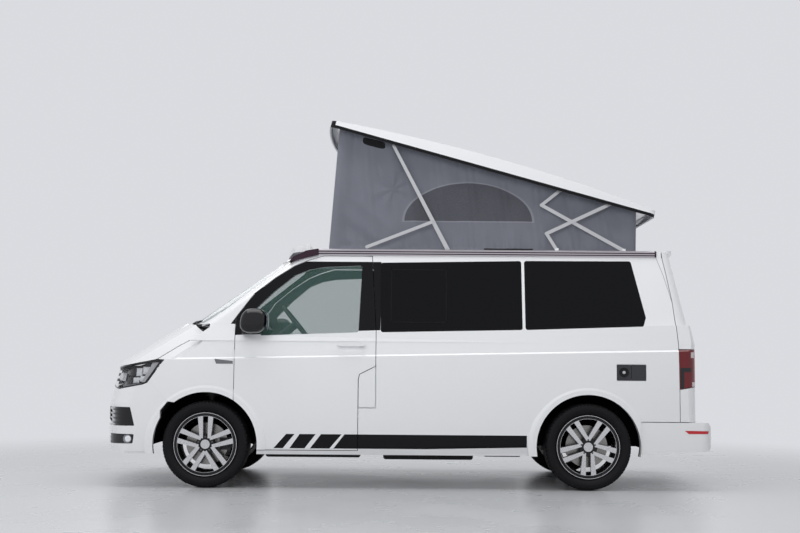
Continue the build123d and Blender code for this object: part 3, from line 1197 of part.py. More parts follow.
write(kitchen_cabinet, "kitchen_cabinet")

# ---------------------------------------------------------------- roof rail, awning and wipers
RAIL_FRONT_X = -685.0
RAIL_REAR_X = 2030.0
RAIL_CAP_OUTLINE = ((-921, 1790), (RAIL_FRONT_X, 1845), (RAIL_FRONT_X, 1896), (-780, 1880), (-880, 1830))
with BuildPart() as roof_rail_left:
    # twin-groove extrusion along the gutter with a tapered front cap
    with BuildSketch(Plane.YZ.offset(RAIL_FRONT_X)):
        Polygon((-772, 1845), (-772, 1888), (-760, 1896), (-735, 1896), (-735, 1845), align=None)
        for z in (1858, 1876):
            with Locations((-770, z)):
                Rectangle(8, 6, mode=Mode.SUBTRACT)
    extrude(amount=RAIL_REAR_X - RAIL_FRONT_X)
    add(side_prism(RAIL_CAP_OUTLINE, -790, -700))
    add(greenhouse_form(-SEAT_GAP), mode=Mode.SUBTRACT)
write(roof_rail_left, "roof_rail_left")

with BuildPart() as awning_right:
    # slim roll-out awning case on the sliding door's side
    with BuildSketch(Plane.YZ.offset(-640)) as case:
        Polygon((735, 1850), (838, 1850), (850, 1868), (846, 1930), (820, 1948), (735, 1948), align=None)
        fillet(case.vertices().sort_by(Axis.X)[-4:], 8)
    extrude(amount=2600)
    add(greenhouse_form(-SEAT_GAP), mode=Mode.SUBTRACT)
    add(block(-2000, 2600, 0, LID_HALF_WIDTH + 8, 1700, 2100), mode=Mode.SUBTRACT)
write(awning_right, "awning_right")

with BuildPart() as wipers:
    # two parked arms along the foot of the screen
    for y_low, y_high in ((-640, -40), (40, 640)):
        with BuildPart(mode=Mode.PRIVATE) as blade:
            add(greenhouse_form(-22))
            add(greenhouse_form(GLASS_SET_BACK - 0.6), mode=Mode.SUBTRACT)
            add(block(-2200, -1500, y_low, y_high, 1300, 1316), mode=Mode.INTERSECT)
        add(blade.part)
write(wipers, "wipers")
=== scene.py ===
# %% [markdown]
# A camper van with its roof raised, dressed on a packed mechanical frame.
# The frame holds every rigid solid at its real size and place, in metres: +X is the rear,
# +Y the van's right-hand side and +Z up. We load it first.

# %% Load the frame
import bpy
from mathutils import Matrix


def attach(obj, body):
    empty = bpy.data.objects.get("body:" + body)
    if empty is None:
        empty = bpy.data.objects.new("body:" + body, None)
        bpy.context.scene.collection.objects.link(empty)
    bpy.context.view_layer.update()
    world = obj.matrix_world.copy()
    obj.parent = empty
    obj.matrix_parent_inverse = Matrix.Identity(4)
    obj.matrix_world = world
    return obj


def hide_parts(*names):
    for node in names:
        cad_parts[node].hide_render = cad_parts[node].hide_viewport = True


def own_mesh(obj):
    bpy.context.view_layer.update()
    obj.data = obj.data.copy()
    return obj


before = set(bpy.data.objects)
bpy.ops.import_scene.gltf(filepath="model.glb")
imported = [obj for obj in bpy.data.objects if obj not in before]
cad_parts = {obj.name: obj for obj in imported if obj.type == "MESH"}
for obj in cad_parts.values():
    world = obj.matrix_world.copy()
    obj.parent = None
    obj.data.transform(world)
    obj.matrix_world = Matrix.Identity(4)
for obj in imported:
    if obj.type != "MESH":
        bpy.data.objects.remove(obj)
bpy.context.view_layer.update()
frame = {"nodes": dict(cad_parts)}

from fnmatch import filter as filter_names
from functools import partialmethod

import bpy
import numpy as np
from mathutils import Matrix, Vector
from mathutils.bvhtree import BVHTree

nodes = frame["nodes"]
LEFT, RIGHT = -1, 1
HANDS = (("left", LEFT), ("right", RIGHT))

# %% [markdown]
# The camera stands well back from the van's left side, a little under a metre above the
# floor, and looks slightly up. A long lens keeps the side nearly flat, as in a catalogue.

# %% Camera
CAMERA_PLACE = (0.0154, -10.749, 0.971)
CAMERA_YAW, CAMERA_PITCH, CAMERA_ROLL = -0.0044, 0.0786, 0.0076
CAMERA_LENS = 56.06


def camera_axes(yaw, pitch, roll):
    """Right, up and forward unit vectors of a camera turned by yaw and pitch, then rolled."""
    forward = np.array([np.sin(yaw) * np.cos(pitch), np.cos(yaw) * np.cos(pitch), np.sin(pitch)])
    level = np.array([np.cos(yaw), -np.sin(yaw), 0.0])
    upright = np.cross(level, forward)
    right = level * np.cos(roll) + upright * np.sin(roll)
    up = -level * np.sin(roll) + upright * np.cos(roll)
    return right, up, forward


right, up, forward = camera_axes(CAMERA_YAW, CAMERA_PITCH, CAMERA_ROLL)
camera_data = bpy.data.cameras.new("camera")
camera_data.lens = CAMERA_LENS
camera_data.sensor_width = 36.0
camera = bpy.data.objects.new("camera", camera_data)
camera.matrix_world = Matrix((
    (right[0], up[0], -forward[0], CAMERA_PLACE[0]),
    (right[1], up[1], -forward[1], CAMERA_PLACE[1]),
    (right[2], up[2], -forward[2], CAMERA_PLACE[2]),
    (0, 0, 0, 1),
))
bpy.context.scene.collection.objects.link(camera)
bpy.context.scene.camera = camera
print("camera: lens", CAMERA_LENS, "mm")

# %% [markdown]
# Every new piece is a surface worked out as a grid of points. One helper turns such grids
# into a mesh. A grid may close on itself in either direction, as a tyre does in both. Another
# says which body of the frame the piece rides on.

# %% Mesh helpers
def new_object(name, points, faces, material, smooth=True, uv=None):
    """Object from an (n, 3) array of points and an (m, 4) array of corner indices."""
    mesh = bpy.data.meshes.new(name)
    count = len(faces)
    mesh.vertices.add(len(points))
    mesh.vertices.foreach_set("co", np.ascontiguousarray(points, dtype=np.float32).ravel())
    mesh.loops.add(4 * count)
    mesh.loops.foreach_set("vertex_index", np.ascontiguousarray(faces, dtype=np.int32).ravel())
    mesh.polygons.add(count)
    mesh.polygons.foreach_set("loop_start", np.arange(0, 4 * count, 4, dtype=np.int32))
    mesh.polygons.foreach_set("use_smooth", np.full(count, smooth))
    if uv is not None:
        layer = mesh.uv_layers.new(name="cloth")
        layer.data.foreach_set("uv", np.ascontiguousarray(uv, dtype=np.float32).ravel())
    mesh.update(calc_edges=True)
    mesh.validate()
    mesh.materials.append(material)
    obj = bpy.data.objects.new(name, mesh)
    bpy.context.scene.collection.objects.link(obj)
    return obj


def grid_faces(rows, columns, close_rows=False, close_columns=False, start=0):
    """Corner indices of the quads of a rows by columns grid, joined round where it closes."""
    row = np.arange(rows if close_rows else rows - 1)[:, None]
    column = np.arange(columns if close_columns else columns - 1)[None, :]
    next_row, next_column = (row + 1) % rows, (column + 1) % columns
    corners = [row * columns + column, row * columns + next_column,
               next_row * columns + next_column, next_row * columns + column]
    corners = [np.broadcast_to(corner, (row.size, column.size)) for corner in corners]
    return np.stack(corners, axis=-1).reshape(-1, 4) + start


def joined_object(name, grids, material, smooth=True, close_rows=False, close_columns=True):
    """One object from several (rows, columns, 3) grids of points."""
    points, faces, start = [], [], 0
    for grid in grids:
        rows, columns = grid.shape[:2]
        points.append(grid.reshape(-1, 3))
        faces.append(grid_faces(rows, columns, close_rows, close_columns, start))
        start += rows * columns
    return new_object(name, np.concatenate(points), np.concatenate(faces), material, smooth)


def fitted(piece, body, replaces=None):
    """The piece, riding a body, and standing in for a node of the frame if one is named."""
    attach(piece, body)
    if replaces:
        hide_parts(replaces)
    return piece


def tube_grid(path, radius, sides=10):
    """A round tube along a path: circles of the given radius square to the path's direction."""
    path = np.asarray(path, dtype=float)
    along = np.gradient(path, axis=0)
    along /= np.linalg.norm(along, axis=1, keepdims=True)
    reference = np.array([0.0, 0.0, 1.0]) if abs(along[:, 2]).mean() < 0.9 else np.array([0.0, 1.0, 0.0])
    across = np.cross(along, reference)
    across /= np.linalg.norm(across, axis=1, keepdims=True)
    other = np.cross(across, along)
    turn = np.linspace(0, 2 * np.pi, sides, endpoint=False)
    ring = np.cos(turn)[None, :, None] * across[:, None, :] + np.sin(turn)[None, :, None] * other[:, None, :]
    body = path[:, None, :] + np.asarray(radius).reshape(-1, 1, 1) * ring
    ends = [np.repeat(p[None, None, :], sides, axis=1) for p in (path[0], path[-1])]
    return np.concatenate([ends[0], body, ends[1]])


def squircle_blob(centre, half, power_u=2.6, power_v=2.6, rows=28, columns=40):
    """Rounded box: a sphere's angles with every sine and cosine raised to 2 / power, times the half sizes."""
    rise = np.linspace(-np.pi / 2, np.pi / 2, rows)[:, None]
    turn = np.linspace(-np.pi, np.pi, columns, endpoint=False)[None, :]

    def bent(value, power):
        return np.sign(value) * np.abs(value) ** (2 / power)

    x = half[0] * bent(np.cos(rise), power_v) * bent(np.cos(turn), power_u)
    y = half[1] * bent(np.cos(rise), power_v) * bent(np.sin(turn), power_u)
    z = half[2] * bent(np.sin(rise), power_v) * np.ones_like(turn)
    return np.stack([x + centre[0], y + centre[1], z + centre[2]], axis=-1)


print("mesh helpers ready")

# %% [markdown]
# Finishes are worked out in shader nodes. A signal wraps a socket of such a node, so that
# its place in a mask can be written as plain arithmetic.

# %% Signals
def set_inputs(node, values):
    """Gives a node's inputs their values or links."""
    for key, value in values.items():
        value = getattr(value, "socket", value)
        if isinstance(value, bpy.types.NodeSocket):
            node.id_data.links.new(value, node.inputs[key])
        else:
            node.inputs[key].default_value = value


def add_node(tree, kind, values=None, **settings):
    """Node of a kind with its properties set and its inputs given as values or links."""
    node = tree.nodes.new(kind)
    for key, value in settings.items():
        setattr(node, key, value)
    set_inputs(node, values or {})
    return node


class Signal:
    """A value in a shader tree. A comparison gives 1 where true and 0 elsewhere; & is and, | is or."""

    def __init__(self, socket):
        self.socket = socket

    def use(self, operation, *others):
        """Result of a Math node's operation on this value and the others."""
        node = add_node(self.socket.id_data, "ShaderNodeMath", dict(enumerate((self, *others))), operation=operation)
        return Signal(node.outputs[0])


# each operator of a signal is one operation of a Math node
OPERATIONS = {
    "add": "ADD", "sub": "SUBTRACT", "mul": "MULTIPLY", "truediv": "DIVIDE", "pow": "POWER", "abs": "ABSOLUTE",
    "gt": "GREATER_THAN", "lt": "LESS_THAN", "and": "MULTIPLY", "or": "MAXIMUM",
}
for word, operation in OPERATIONS.items():
    setattr(Signal, f"__{word}__", partialmethod(Signal.use, operation))


def xyz(vector):
    """The three numbers of a vector socket."""
    split = add_node(vector.id_data, "ShaderNodeSeparateXYZ", {0: vector})
    return [Signal(output) for output in split.outputs]


def noise(place, scale, detail):
    """Soft cloudy noise read at a place."""
    values = {"Vector": place, "Scale": scale, "Detail": detail}
    return Signal(add_node(place.id_data, "ShaderNodeTexNoise", values).outputs["Fac"])


def mix_colour(mask, first, second):
    """Colour that is first where the mask is 0 and second where it is 1."""
    values = {0: mask, 6: first, 7: second}
    return Signal(add_node(mask.socket.id_data, "ShaderNodeMix", values, data_type="RGBA").outputs[2])


def mix_value(mask, first, second):
    """Number that is first where the mask is 0 and second where it is 1."""
    values = {0: mask, 2: first, 3: second}
    return Signal(add_node(mask.socket.id_data, "ShaderNodeMix", values, data_type="FLOAT").outputs[0])


print("signals ready")

# %% [markdown]
# Some effects belong to several finishes: a fine grain, road film low on the body, and the
# weave of cloth. Each is built once as a shader node group, and each material uses it with
# its own values.

# %% Shader groups
FLOAT, VECTOR = "NodeSocketFloat", "NodeSocketVector"


def new_group(name, inputs, outputs):
    """Empty shader group that reads a place: its tree, the sockets it reads and its output node."""
    tree = bpy.data.node_groups.new(name, "ShaderNodeTree")
    tree.interface.new_socket("Place", in_out="INPUT", socket_type=VECTOR)
    for label in inputs:
        tree.interface.new_socket(label, in_out="INPUT", socket_type=FLOAT)
    for label in outputs:
        tree.interface.new_socket(label, in_out="OUTPUT", socket_type=FLOAT)
    return tree, tree.nodes.new("NodeGroupInput").outputs, tree.nodes.new("NodeGroupOutput")


def use_group(group, place, **values):
    """A shader group's outputs by name, where it reads a place and other values."""
    node = add_node(place.id_data, "ShaderNodeGroup", {"Place": place, **values}, node_tree=group)
    return {output.name: Signal(output) for output in node.outputs}


grain_group, given, result = new_group("moulded_grain", ["Scale"], ["Height", "Patches"])
set_inputs(result, {
    "Height": noise(given["Place"], given["Scale"], 6.0), "Patches": noise(given["Place"], 3.0, 3.0),
})

film_group, given, result = new_group("road_film", ["Height", "Amount"], ["Mask"])
film_fade = (Signal(given["Height"]) - xyz(given["Place"])[2]) * 2.2
film_fade.socket.node.use_clamp = True
set_inputs(result, {"Mask": film_fade * noise(given["Place"], 5.0, 5.0) * given["Amount"]})

weave_group, given, result = new_group("cloth_weave", ["Pitch"], ["Height", "Shade"])
warp, weft = ((place * given["Pitch"]).use("SINE") for place in xyz(given["Place"])[:2])
set_inputs(result, {"Height": warp * weft, "Shade": noise(given["Place"], 2.2, 4.0)})
print("groups:", [g.name for g in bpy.data.node_groups])

# %% [markdown]
# Three more masks are particular to this van. One is true inside the slanted black stripes
# along the sill, one inside the black band of door and window frames, and one on the inner
# faces of the walls, which are trimmed in dark cloth. All read the object's own coordinates,
# so they stay on the panel when a door opens.

# %% Body masks
STRIPE_LOW, STRIPE_HIGH, STRIPE_Y = 0.313, 0.4245, 0.925
# x of each stripe's edges: front and rear at the foot, front and rear at the top
STRIPES = (
    (-1.007, -0.934, -0.908, -0.843),
    (-0.882, -0.764, -0.803, -0.677),
    (-0.721, -0.570, -0.636, -0.474),
    (-0.538, 0.974, -0.452, 0.974),
)
BELT_FRONT_X, BELT_FRONT_Z, BELT_RISE = -1.439, 1.190, 0.040
FRAME_TOP_Z = 1.792
FRAME_REAR_X = -0.178
# the trimmed inner faces lie within TRIM_Y up to the waist, and lean in above it
TRIM_Y, TRIM_LEAN, WAIST_Z = 0.882, 0.235, 1.15
TRIM_FRONT_X, TRIM_TOP_Z = -1.45, 1.843

stripe_group, given, result = new_group("sill_stripes", [], ["Mask"])
x, y, z = xyz(given["Place"])
level = (z - STRIPE_LOW) / (STRIPE_HIGH - STRIPE_LOW)
total = None
for foot_front, foot_rear, top_front, top_rear in STRIPES:
    front_edge = level * (top_front - foot_front) + foot_front
    rear_edge = level * (top_rear - foot_rear) + foot_rear
    stripe = (x > front_edge) & (x < rear_edge)
    total = stripe if total is None else total | stripe
set_inputs(result, {"Mask": total & (level > 0.0) & (level < 1.0) & (abs(y) > STRIPE_Y)})

band_group, given, result = new_group("window_band", ["Rear"], ["Mask"])
x, y, z = xyz(given["Place"])
belt = x * BELT_RISE + (BELT_FRONT_Z - BELT_FRONT_X * BELT_RISE)
set_inputs(result, {"Mask": (z > belt) & (z < FRAME_TOP_Z) & (x < given["Rear"])})

inner_group, given, result = new_group("inner_trim", [], ["Mask"])
x, y, z = xyz(given["Place"])
reach = (z - WAIST_Z).use("MAXIMUM", 0.0) * -TRIM_LEAN + TRIM_Y
set_inputs(result, {"Mask": (abs(y) < reach) & (z < TRIM_TOP_Z) & (x > TRIM_FRONT_X)})
print("stripes:", len(STRIPES))

# %% [markdown]
# The finishes. White paint is a bright base under clear lacquer, so the lacquer's gloss is
# set apart from the base. Its fine waviness keeps reflections alive.

# %% Materials
WHITE = (0.80, 0.81, 0.83, 1)
INK = (0.004, 0.004, 0.005, 1)
TRIM = (0.035, 0.036, 0.038, 1)
GRAIN_TINT = 0.12


def start_material(name, colour, roughness, metallic=0.0, coat=0.0, specular=0.5):
    """Material with a Principled shader; gives its shader and Object coordinates too."""
    material = bpy.data.materials.new(name)
    material.use_nodes = True
    shader = material.node_tree.nodes["Principled BSDF"]
    set_inputs(shader, {
        "Base Color": colour, "Roughness": roughness, "Metallic": metallic, "Coat Weight": coat,
        "Coat Roughness": 0.04, "Specular IOR Level": specular,
    })
    return material, shader, material.node_tree.nodes.new("ShaderNodeTexCoord").outputs["Object"]


def bump(shader, height, strength, distance):
    """Feeds a height into the shader's normal."""
    values = {"Height": height, "Strength": strength, "Distance": distance}
    set_inputs(shader, {"Normal": add_node(shader.id_data, "ShaderNodeBump", values).outputs[0]})


def scaled(colour, factor):
    """Colour made darker or lighter, no channel over 1."""
    return tuple(min(1.0, channel * factor) for channel in colour[:3]) + (1,)


def grained(name, colour, roughness, scale, depth, spread=0.12, metallic=0.0, coat=0.0, specular=0.5):
    """Moulded or cast finish: fine grain in the normal, soft patches in colour and roughness."""
    material, shader, place = start_material(name, colour, roughness, metallic, coat, specular)
    grain = use_group(grain_group, place, Scale=scale)
    dark, light = scaled(colour, 1 - GRAIN_TINT), scaled(colour, 1 + GRAIN_TINT)
    set_inputs(shader, {
        "Base Color": mix_colour(grain["Patches"], dark, light),
        "Roughness": mix_value(grain["Patches"], roughness - spread / 2, roughness + spread / 2),
    })
    bump(shader, grain["Height"], 0.5, depth)
    return material


def white_paint(name, band_rear=None):
    """White lacquered paint; with band_rear, also the sill stripes, the window band and the inner trim."""
    material, shader, place = start_material(name, WHITE, 0.32, coat=1.0)
    film = use_group(film_group, place, Height=0.50, Amount=0.16)["Mask"]
    colour = mix_colour(film, WHITE, (0.42, 0.40, 0.37, 1))
    roughness = mix_value(film, 0.30, 0.6)
    if band_rear is not None:
        stripes = use_group(stripe_group, place)["Mask"]
        band = use_group(band_group, place, Rear=band_rear)["Mask"]
        trim = use_group(inner_group, place)["Mask"]
        for mask, paint, gloss in ((stripes, INK, 0.42), (band, INK, 0.12), (trim, TRIM, 0.8)):
            colour = mix_colour(mask, colour, paint)
            roughness = mix_value(mask, roughness, gloss)
        black = stripes | band | trim
        set_inputs(shader, {
            "Coat Weight": mix_value(black, 1.0, 0.10), "Specular IOR Level": mix_value(black, 0.5, 0.15),
        })
    set_inputs(shader, {"Base Color": colour, "Roughness": roughness})
    bump(shader, noise(place, 60.0, 2.0), 0.10, 0.0004)
    return material


def glass(name, colour, alpha, roughness=0.02, specular=0.8):
    """Sheet glass: a coloured gloss layer that is partly see-through."""
    material, shader, place = start_material(name, colour, roughness, specular=specular)
    film = use_group(grain_group, place, Scale=30.0)["Patches"]
    set_inputs(shader, {"Roughness": mix_value(film, roughness, roughness + 0.03), "Alpha": alpha})
    return material


body_white = white_paint("body_white")
door_white = white_paint("door_white", band_rear=10.0)
side_white = white_paint("side_white", band_rear=FRAME_REAR_X)
black_gloss = grained("black_gloss", (0.006, 0.006, 0.007, 1), 0.12, 40.0, 0.0001, 0.05,
                      coat=0.25, specular=0.3)
black_plastic = grained("black_plastic", (0.010, 0.010, 0.011, 1), 0.55, 700.0, 0.0004, specular=0.2)
under_steel = grained("under_steel", (0.012, 0.012, 0.013, 1), 0.6, 180.0, 0.0008, specular=0.2)
cast_iron = grained("cast_iron", (0.06, 0.06, 0.063, 1), 0.55, 160.0, 0.001, metallic=0.6)
rubber = grained("tyre_rubber", (0.007, 0.007, 0.008, 1), 0.62, 260.0, 0.0005, 0.16, specular=0.18)
liner_felt = grained("liner_felt", (0.005, 0.005, 0.006, 1), 0.9, 320.0, 0.0015, specular=0.05)
door_glass = glass("door_glass", (0.09, 0.19, 0.165, 1), 0.21)
screen_glass = glass("screen_glass", (0.16, 0.28, 0.25, 1), 0.24)
privacy_glass = glass("privacy_glass", (0.003, 0.003, 0.004, 1), 0.95, 0.02, 0.16)
print("materials so far:", len(bpy.data.materials))

# %% [markdown]
# Bare metal is a finish of its own. The raised roof's bars are drawn aluminium, brushed
# along their length, so their bump is a noise stretched along one axis.

# %% Metal finishes
def brushed(name, colour, roughness, stretch, metallic=1.0):
    """Metal with fine drawn lines: noise read through a stretched mapping."""
    material, shader, place = start_material(name, colour, roughness, metallic)
    drawn = add_node(place.id_data, "ShaderNodeMapping", {"Vector": place, "Scale": stretch}).outputs[0]
    lines = noise(drawn, 90.0, 4.0)
    cloud = use_group(grain_group, place, Scale=8.0)["Patches"]
    set_inputs(shader, {
        "Base Color": mix_colour(cloud, scaled(colour, 0.86), colour),
        "Roughness": mix_value(lines, roughness - 0.08, roughness + 0.10),
    })
    bump(shader, lines, 0.25, 0.0003)
    return material


bar_metal = brushed("bar_metal", (0.62, 0.625, 0.64, 1), 0.36, (1.0, 1.0, 6.0), metallic=0.75)
pipe_steel = brushed("pipe_steel", (0.30, 0.29, 0.28, 1), 0.45, (0.5, 4.0, 4.0))
print("metals: bar, pipe")

# %% [markdown]
# An alloy wheel like this is painted gloss black, then its outer face is turned on a lathe
# down to bright metal. The turned face is everything beyond one plane, so a mask on the
# distance from the van's middle finds it, whichever way the wheel has been steered or spun.

# %% Wheel finish
FRONT_AXLE_X, REAR_AXLE_X = -1.544, 1.456
WHEEL_Z, WHEEL_Y = 0.338, 0.814
MIDDLE_X, HALF_BASE = (FRONT_AXLE_X + REAR_AXLE_X) / 2, (REAR_AXLE_X - FRONT_AXLE_X) / 2
FACE_Y = 0.9155
DISC_Y = 0.8165
# the turned spokes end at one radius, and the rim's edge is turned beyond another
SPOKE_END, RIM_EDGE = 0.221, 0.2435
WHEEL_BLACK = (0.006, 0.006, 0.007, 1)


def wheel_finish():
    """Gloss black wheel, its spokes and outer edge turned bright, with a steel brake disc behind it."""
    material, shader, place = start_material("turned_alloy", WHEEL_BLACK, 0.18, 0.0, 0.15, 0.25)
    x, y, z = xyz(place)
    along = abs(x - MIDDLE_X) - HALF_BASE
    radius = (along ** 2.0 + (z - WHEEL_Z) ** 2.0).use("SQRT")
    face = (abs(y) > FACE_Y) & ((radius < SPOKE_END) | (radius > RIM_EDGE))
    disc = abs(y) < DISC_Y
    metal = face | disc
    grain = use_group(grain_group, place, Scale=60.0)["Height"]
    wheel = mix_colour(face, WHEEL_BLACK, (0.66, 0.66, 0.67, 1))
    set_inputs(shader, {
        "Base Color": mix_colour(disc, wheel, (0.28, 0.27, 0.26, 1)),
        "Metallic": metal,
        "Roughness": mix_value(metal, 0.16, mix_value(grain, 0.20, 0.34)),
    })
    bump(shader, grain, 0.15, 0.0002)
    return material


turned_alloy = wheel_finish()
print("turned face beyond", FACE_Y, "m")

# %% [markdown]
# Some nodes carry two finishes with a clean edge between them. The small flaps behind the
# rear wheel are grey plastic while the filler's flap is painted, the scuttle is black between
# painted ends, the roof's seal is black along its sides only, and the rail along the gutter
# has dark grooves. One function mixes the two by a mask, and each mask is a test of place.

# %% Two-tone finishes
# the screen pillar's black foot lies ahead of PILLAR_X and under a slanted line
PILLAR_X, PILLAR_RISE = -1.30, 1.42
PILLAR_FOOT_Z = 1.338 + 1.325 * PILLAR_RISE
GROOVE_HALF = 0.0045


def two_tone(name, first, second, mask_of, roughness=(0.30, 0.55), coat=(1.0, 0.0), metallic=(0.0, 0.0)):
    """Finish that is first where mask_of(x, y, z) is 0 and second where it is 1."""
    material, shader, place = start_material(name, first, roughness[0], metallic[0], coat[0])
    mask = mask_of(*xyz(place))
    set_inputs(shader, {
        "Base Color": mix_colour(mask, first, second),
        "Roughness": mix_value(mask, *roughness),
        "Coat Weight": mix_value(mask, *coat),
        "Metallic": mix_value(mask, *metallic),
        "Specular IOR Level": mix_value(mask, 0.5, 0.2),
    })
    bump(shader, use_group(grain_group, place, Scale=500.0)["Height"] * mask, 0.4, 0.0004)
    return material


def rail_grooves(x, y, z):
    """True in the rail's two grooves and on its end caps."""
    grooves = z.use("COMPARE", 1.858, GROOVE_HALF) | z.use("COMPARE", 1.876, GROOVE_HALF)
    return grooves | (x < -0.683) | (x > 2.016)


def frame_corner(x, y, z):
    """True on the black foot of the screen pillar, ahead of the door, and on the inner trim."""
    foot = (z < x * PILLAR_RISE + PILLAR_FOOT_Z) & (x < PILLAR_X)
    place = add_node(x.socket.id_data, "ShaderNodeCombineXYZ", {0: x, 1: y, 2: z}).outputs[0]
    return foot | use_group(inner_group, place)["Mask"]


flap_grey = two_tone("flap_finish", WHITE, (0.046, 0.047, 0.052, 1), lambda x, y, z: x > 1.0)
scuttle_trim = two_tone("scuttle_trim", WHITE, (0.010, 0.010, 0.011, 1), lambda x, y, z: abs(y) < 0.735)
seal_trim = two_tone("seal_trim", (0.62, 0.63, 0.65, 1), INK, lambda x, y, z: abs(y) > 0.655,
                     (0.5, 0.5), (0.0, 0.0))
rail_trim = two_tone("rail_trim", (0.50, 0.47, 0.50, 1), (0.030, 0.012, 0.022, 1), rail_grooves,
                     (0.34, 0.3), (0.0, 0.2), (0.7, 0.0))
frame_white = two_tone("frame_white", WHITE, INK, frame_corner, (0.30, 0.15), (1.0, 0.1))
print("two-tone finishes ready")

# %% [markdown]
# Each solid of the frame now gets its finish. The frame's own meshes are right as they are,
# so only their materials change.

# %% Dress the frame
lens_red = grained("lens_red", (0.14, 0.002, 0.006, 1), 0.12, 30.0, 0.0001, 0.04, coat=0.35, specular=0.35)
cabin_board = grained("cabin_board", (0.42, 0.41, 0.39, 1), 0.5, 120.0, 0.0002)
dash_plastic = grained("dash_plastic", (0.030, 0.030, 0.032, 1), 0.6, 600.0, 0.0005)
awning_white = grained("awning_white", (0.72, 0.73, 0.75, 1), 0.38, 90.0, 0.0002, coat=0.4)

# names of nodes, where * stands for any run of letters
FINISHES = {
    body_white: "bonnet front_fender_* tailgate *_bumper pop_roof_lid",
    frame_white: "roof_frame",
    door_white: "front_door_*",
    side_white: "side_panel_* sliding_door",
    flap_grey: "service_flaps",
    black_gloss: "door_mirror_* front_grille",
    black_plastic: "wipers underfloor_tanks",
    scuttle_trim: "scuttle",
    seal_trim: "lid_seal",
    under_steel: "floor_pan",
    liner_felt: "*_wheel_houses",
    cast_iron: "front_knuckle_* front_subframe rear_axle engine_block",
    pipe_steel: "exhaust",
    bar_metal: "front_struts strut_braces rear_bars lid_links cross_bars roof_links",
    rail_trim: "roof_rail_left",
    awning_white: "awning_right",
    turned_alloy: "rim_*",
    door_glass: "door_glass_*",
    screen_glass: "windscreen",
    privacy_glass: "side_windows tailgate_glass",
    lens_red: "tail_lamps",
    cabin_board: "kitchen_cabinet",
    dash_plastic: "dashboard steering_wheel",
}


def dress(name, finish):
    """Gives a node of the frame one finish."""
    nodes[name].data.materials.clear()
    nodes[name].data.materials.append(finish)


dressed = set()
for finish, patterns in FINISHES.items():
    for pattern in patterns.split():
        for name in filter_names(nodes, pattern):
            dress(name, finish)
            dressed.add(name)
print("dressed:", len(dressed), "left:", sorted(set(nodes) - dressed))

# %% [markdown]
# A tyre is a surface of revolution. Its section runs from one bead over the tread to the
# other bead, and the tread is cut with grooves round it and across its shoulders. Real
# grooves catch light and shadow in a way that a bump cannot, so they are in the mesh.

# %% Tyre surface
TREAD_GROOVE, SHOULDER_NOTCH = 0.0075, 0.0035
GROOVE_PLACES = (-0.060, -0.021, 0.021, 0.060)
SHOULDER_BLOCKS = 72
# slots cut a share of each block, and slant by so many blocks for each metre across
SLOT_SHARE, SLOT_SLANT = 0.17, 9.0
SIPE_SHARE, SIPE_SLANT = 0.15, 22.0
RIB_HEIGHT, RIB_PITCH = 0.0007, 0.0085
LINER_POINTS = 8


def smooth_step(value, low, high):
    """Smooth ramp from 0 at low to 1 at high."""
    t = np.clip((value - low) / (high - low), 0, 1)
    return t * t * (3 - 2 * t)


def tyre_section():
    """Points of the section as (radius, distance outboard): bead, sidewall, tread, sidewall, bead, liner."""
    outer = [(0.2292, 0.0874), (0.2400, 0.0930), (0.2530, 0.0956), (0.2600, 0.1062), (0.2720, 0.1155),
             (0.2890, 0.1240), (0.3000, 0.1238), (0.3100, 0.1215), (0.3180, 0.1188), (0.3240, 0.1160),
             (0.3300, 0.1115), (0.3340, 0.1050)]
    tread_y = np.linspace(0.0980, -0.0980, 57)
    crown = 0.338 - 0.004 * np.abs(tread_y / 0.098) ** 5
    inner = [(r, -y) for r, y in reversed(outer[2:])]
    inner[-1] = (0.2530, -0.1045)
    tail = [(0.2400, -0.0970), (0.2292, -0.0914), (0.2292, -0.0720), (0.3080, -0.0900), (0.3110, -0.0450),
            (0.3110, 0.0450), (0.3080, 0.0900), (0.2292, 0.0700)]
    return np.array(outer + list(zip(crown, tread_y)) + inner + tail)


def tyre_grid(rows=504):
    """Section turned about the axle; depth of tread taken away where a groove runs.

    Four grooves run round the tyre. Across each shoulder, blocks are parted by slanted
    slots, and fine ribs run round the sidewall.
    """
    section = tyre_section()
    radius, outboard = section[:, 0][None, :], section[:, 1][None, :]
    across = np.abs(outboard)
    turn = np.linspace(0, 2 * np.pi, rows, endpoint=False)[:, None]
    rings = sum(1 - smooth_step(np.abs(outboard - y), 0.0030, 0.0052) for y in GROOVE_PLACES)
    phase = turn * SHOULDER_BLOCKS / (2 * np.pi)
    outer_phase = (phase + outboard * SLOT_SLANT) % 1.0
    centre_phase = (phase + np.sign(outboard) * 0.35 + outboard * SIPE_SLANT) % 1.0
    slots = (outer_phase < SLOT_SHARE) * smooth_step(across, 0.066, 0.070)
    centre = smooth_step(across, 0.026, 0.030) * (1 - smooth_step(across, 0.052, 0.056))
    sipes = (centre_phase < SIPE_SHARE) * centre
    depth = TREAD_GROOVE * np.clip(rings + 0.85 * slots + 0.5 * sipes, 0, 1) * (radius > 0.329)
    shoulder = (radius > 0.318) * (radius <= 0.3345) * (outer_phase < SLOT_SHARE) * SHOULDER_NOTCH
    ribs = RIB_HEIGHT * np.sin(radius * 2 * np.pi / RIB_PITCH) * (radius > 0.262) * (radius < 0.315)
    outside = np.arange(len(section))[None, :] < len(section) - LINER_POINTS
    r = radius - (depth + shoulder) * outside
    push = np.sign(outboard) * ribs * outside
    return r * np.cos(turn), (outboard + push) * np.ones_like(turn), r * np.sin(turn)


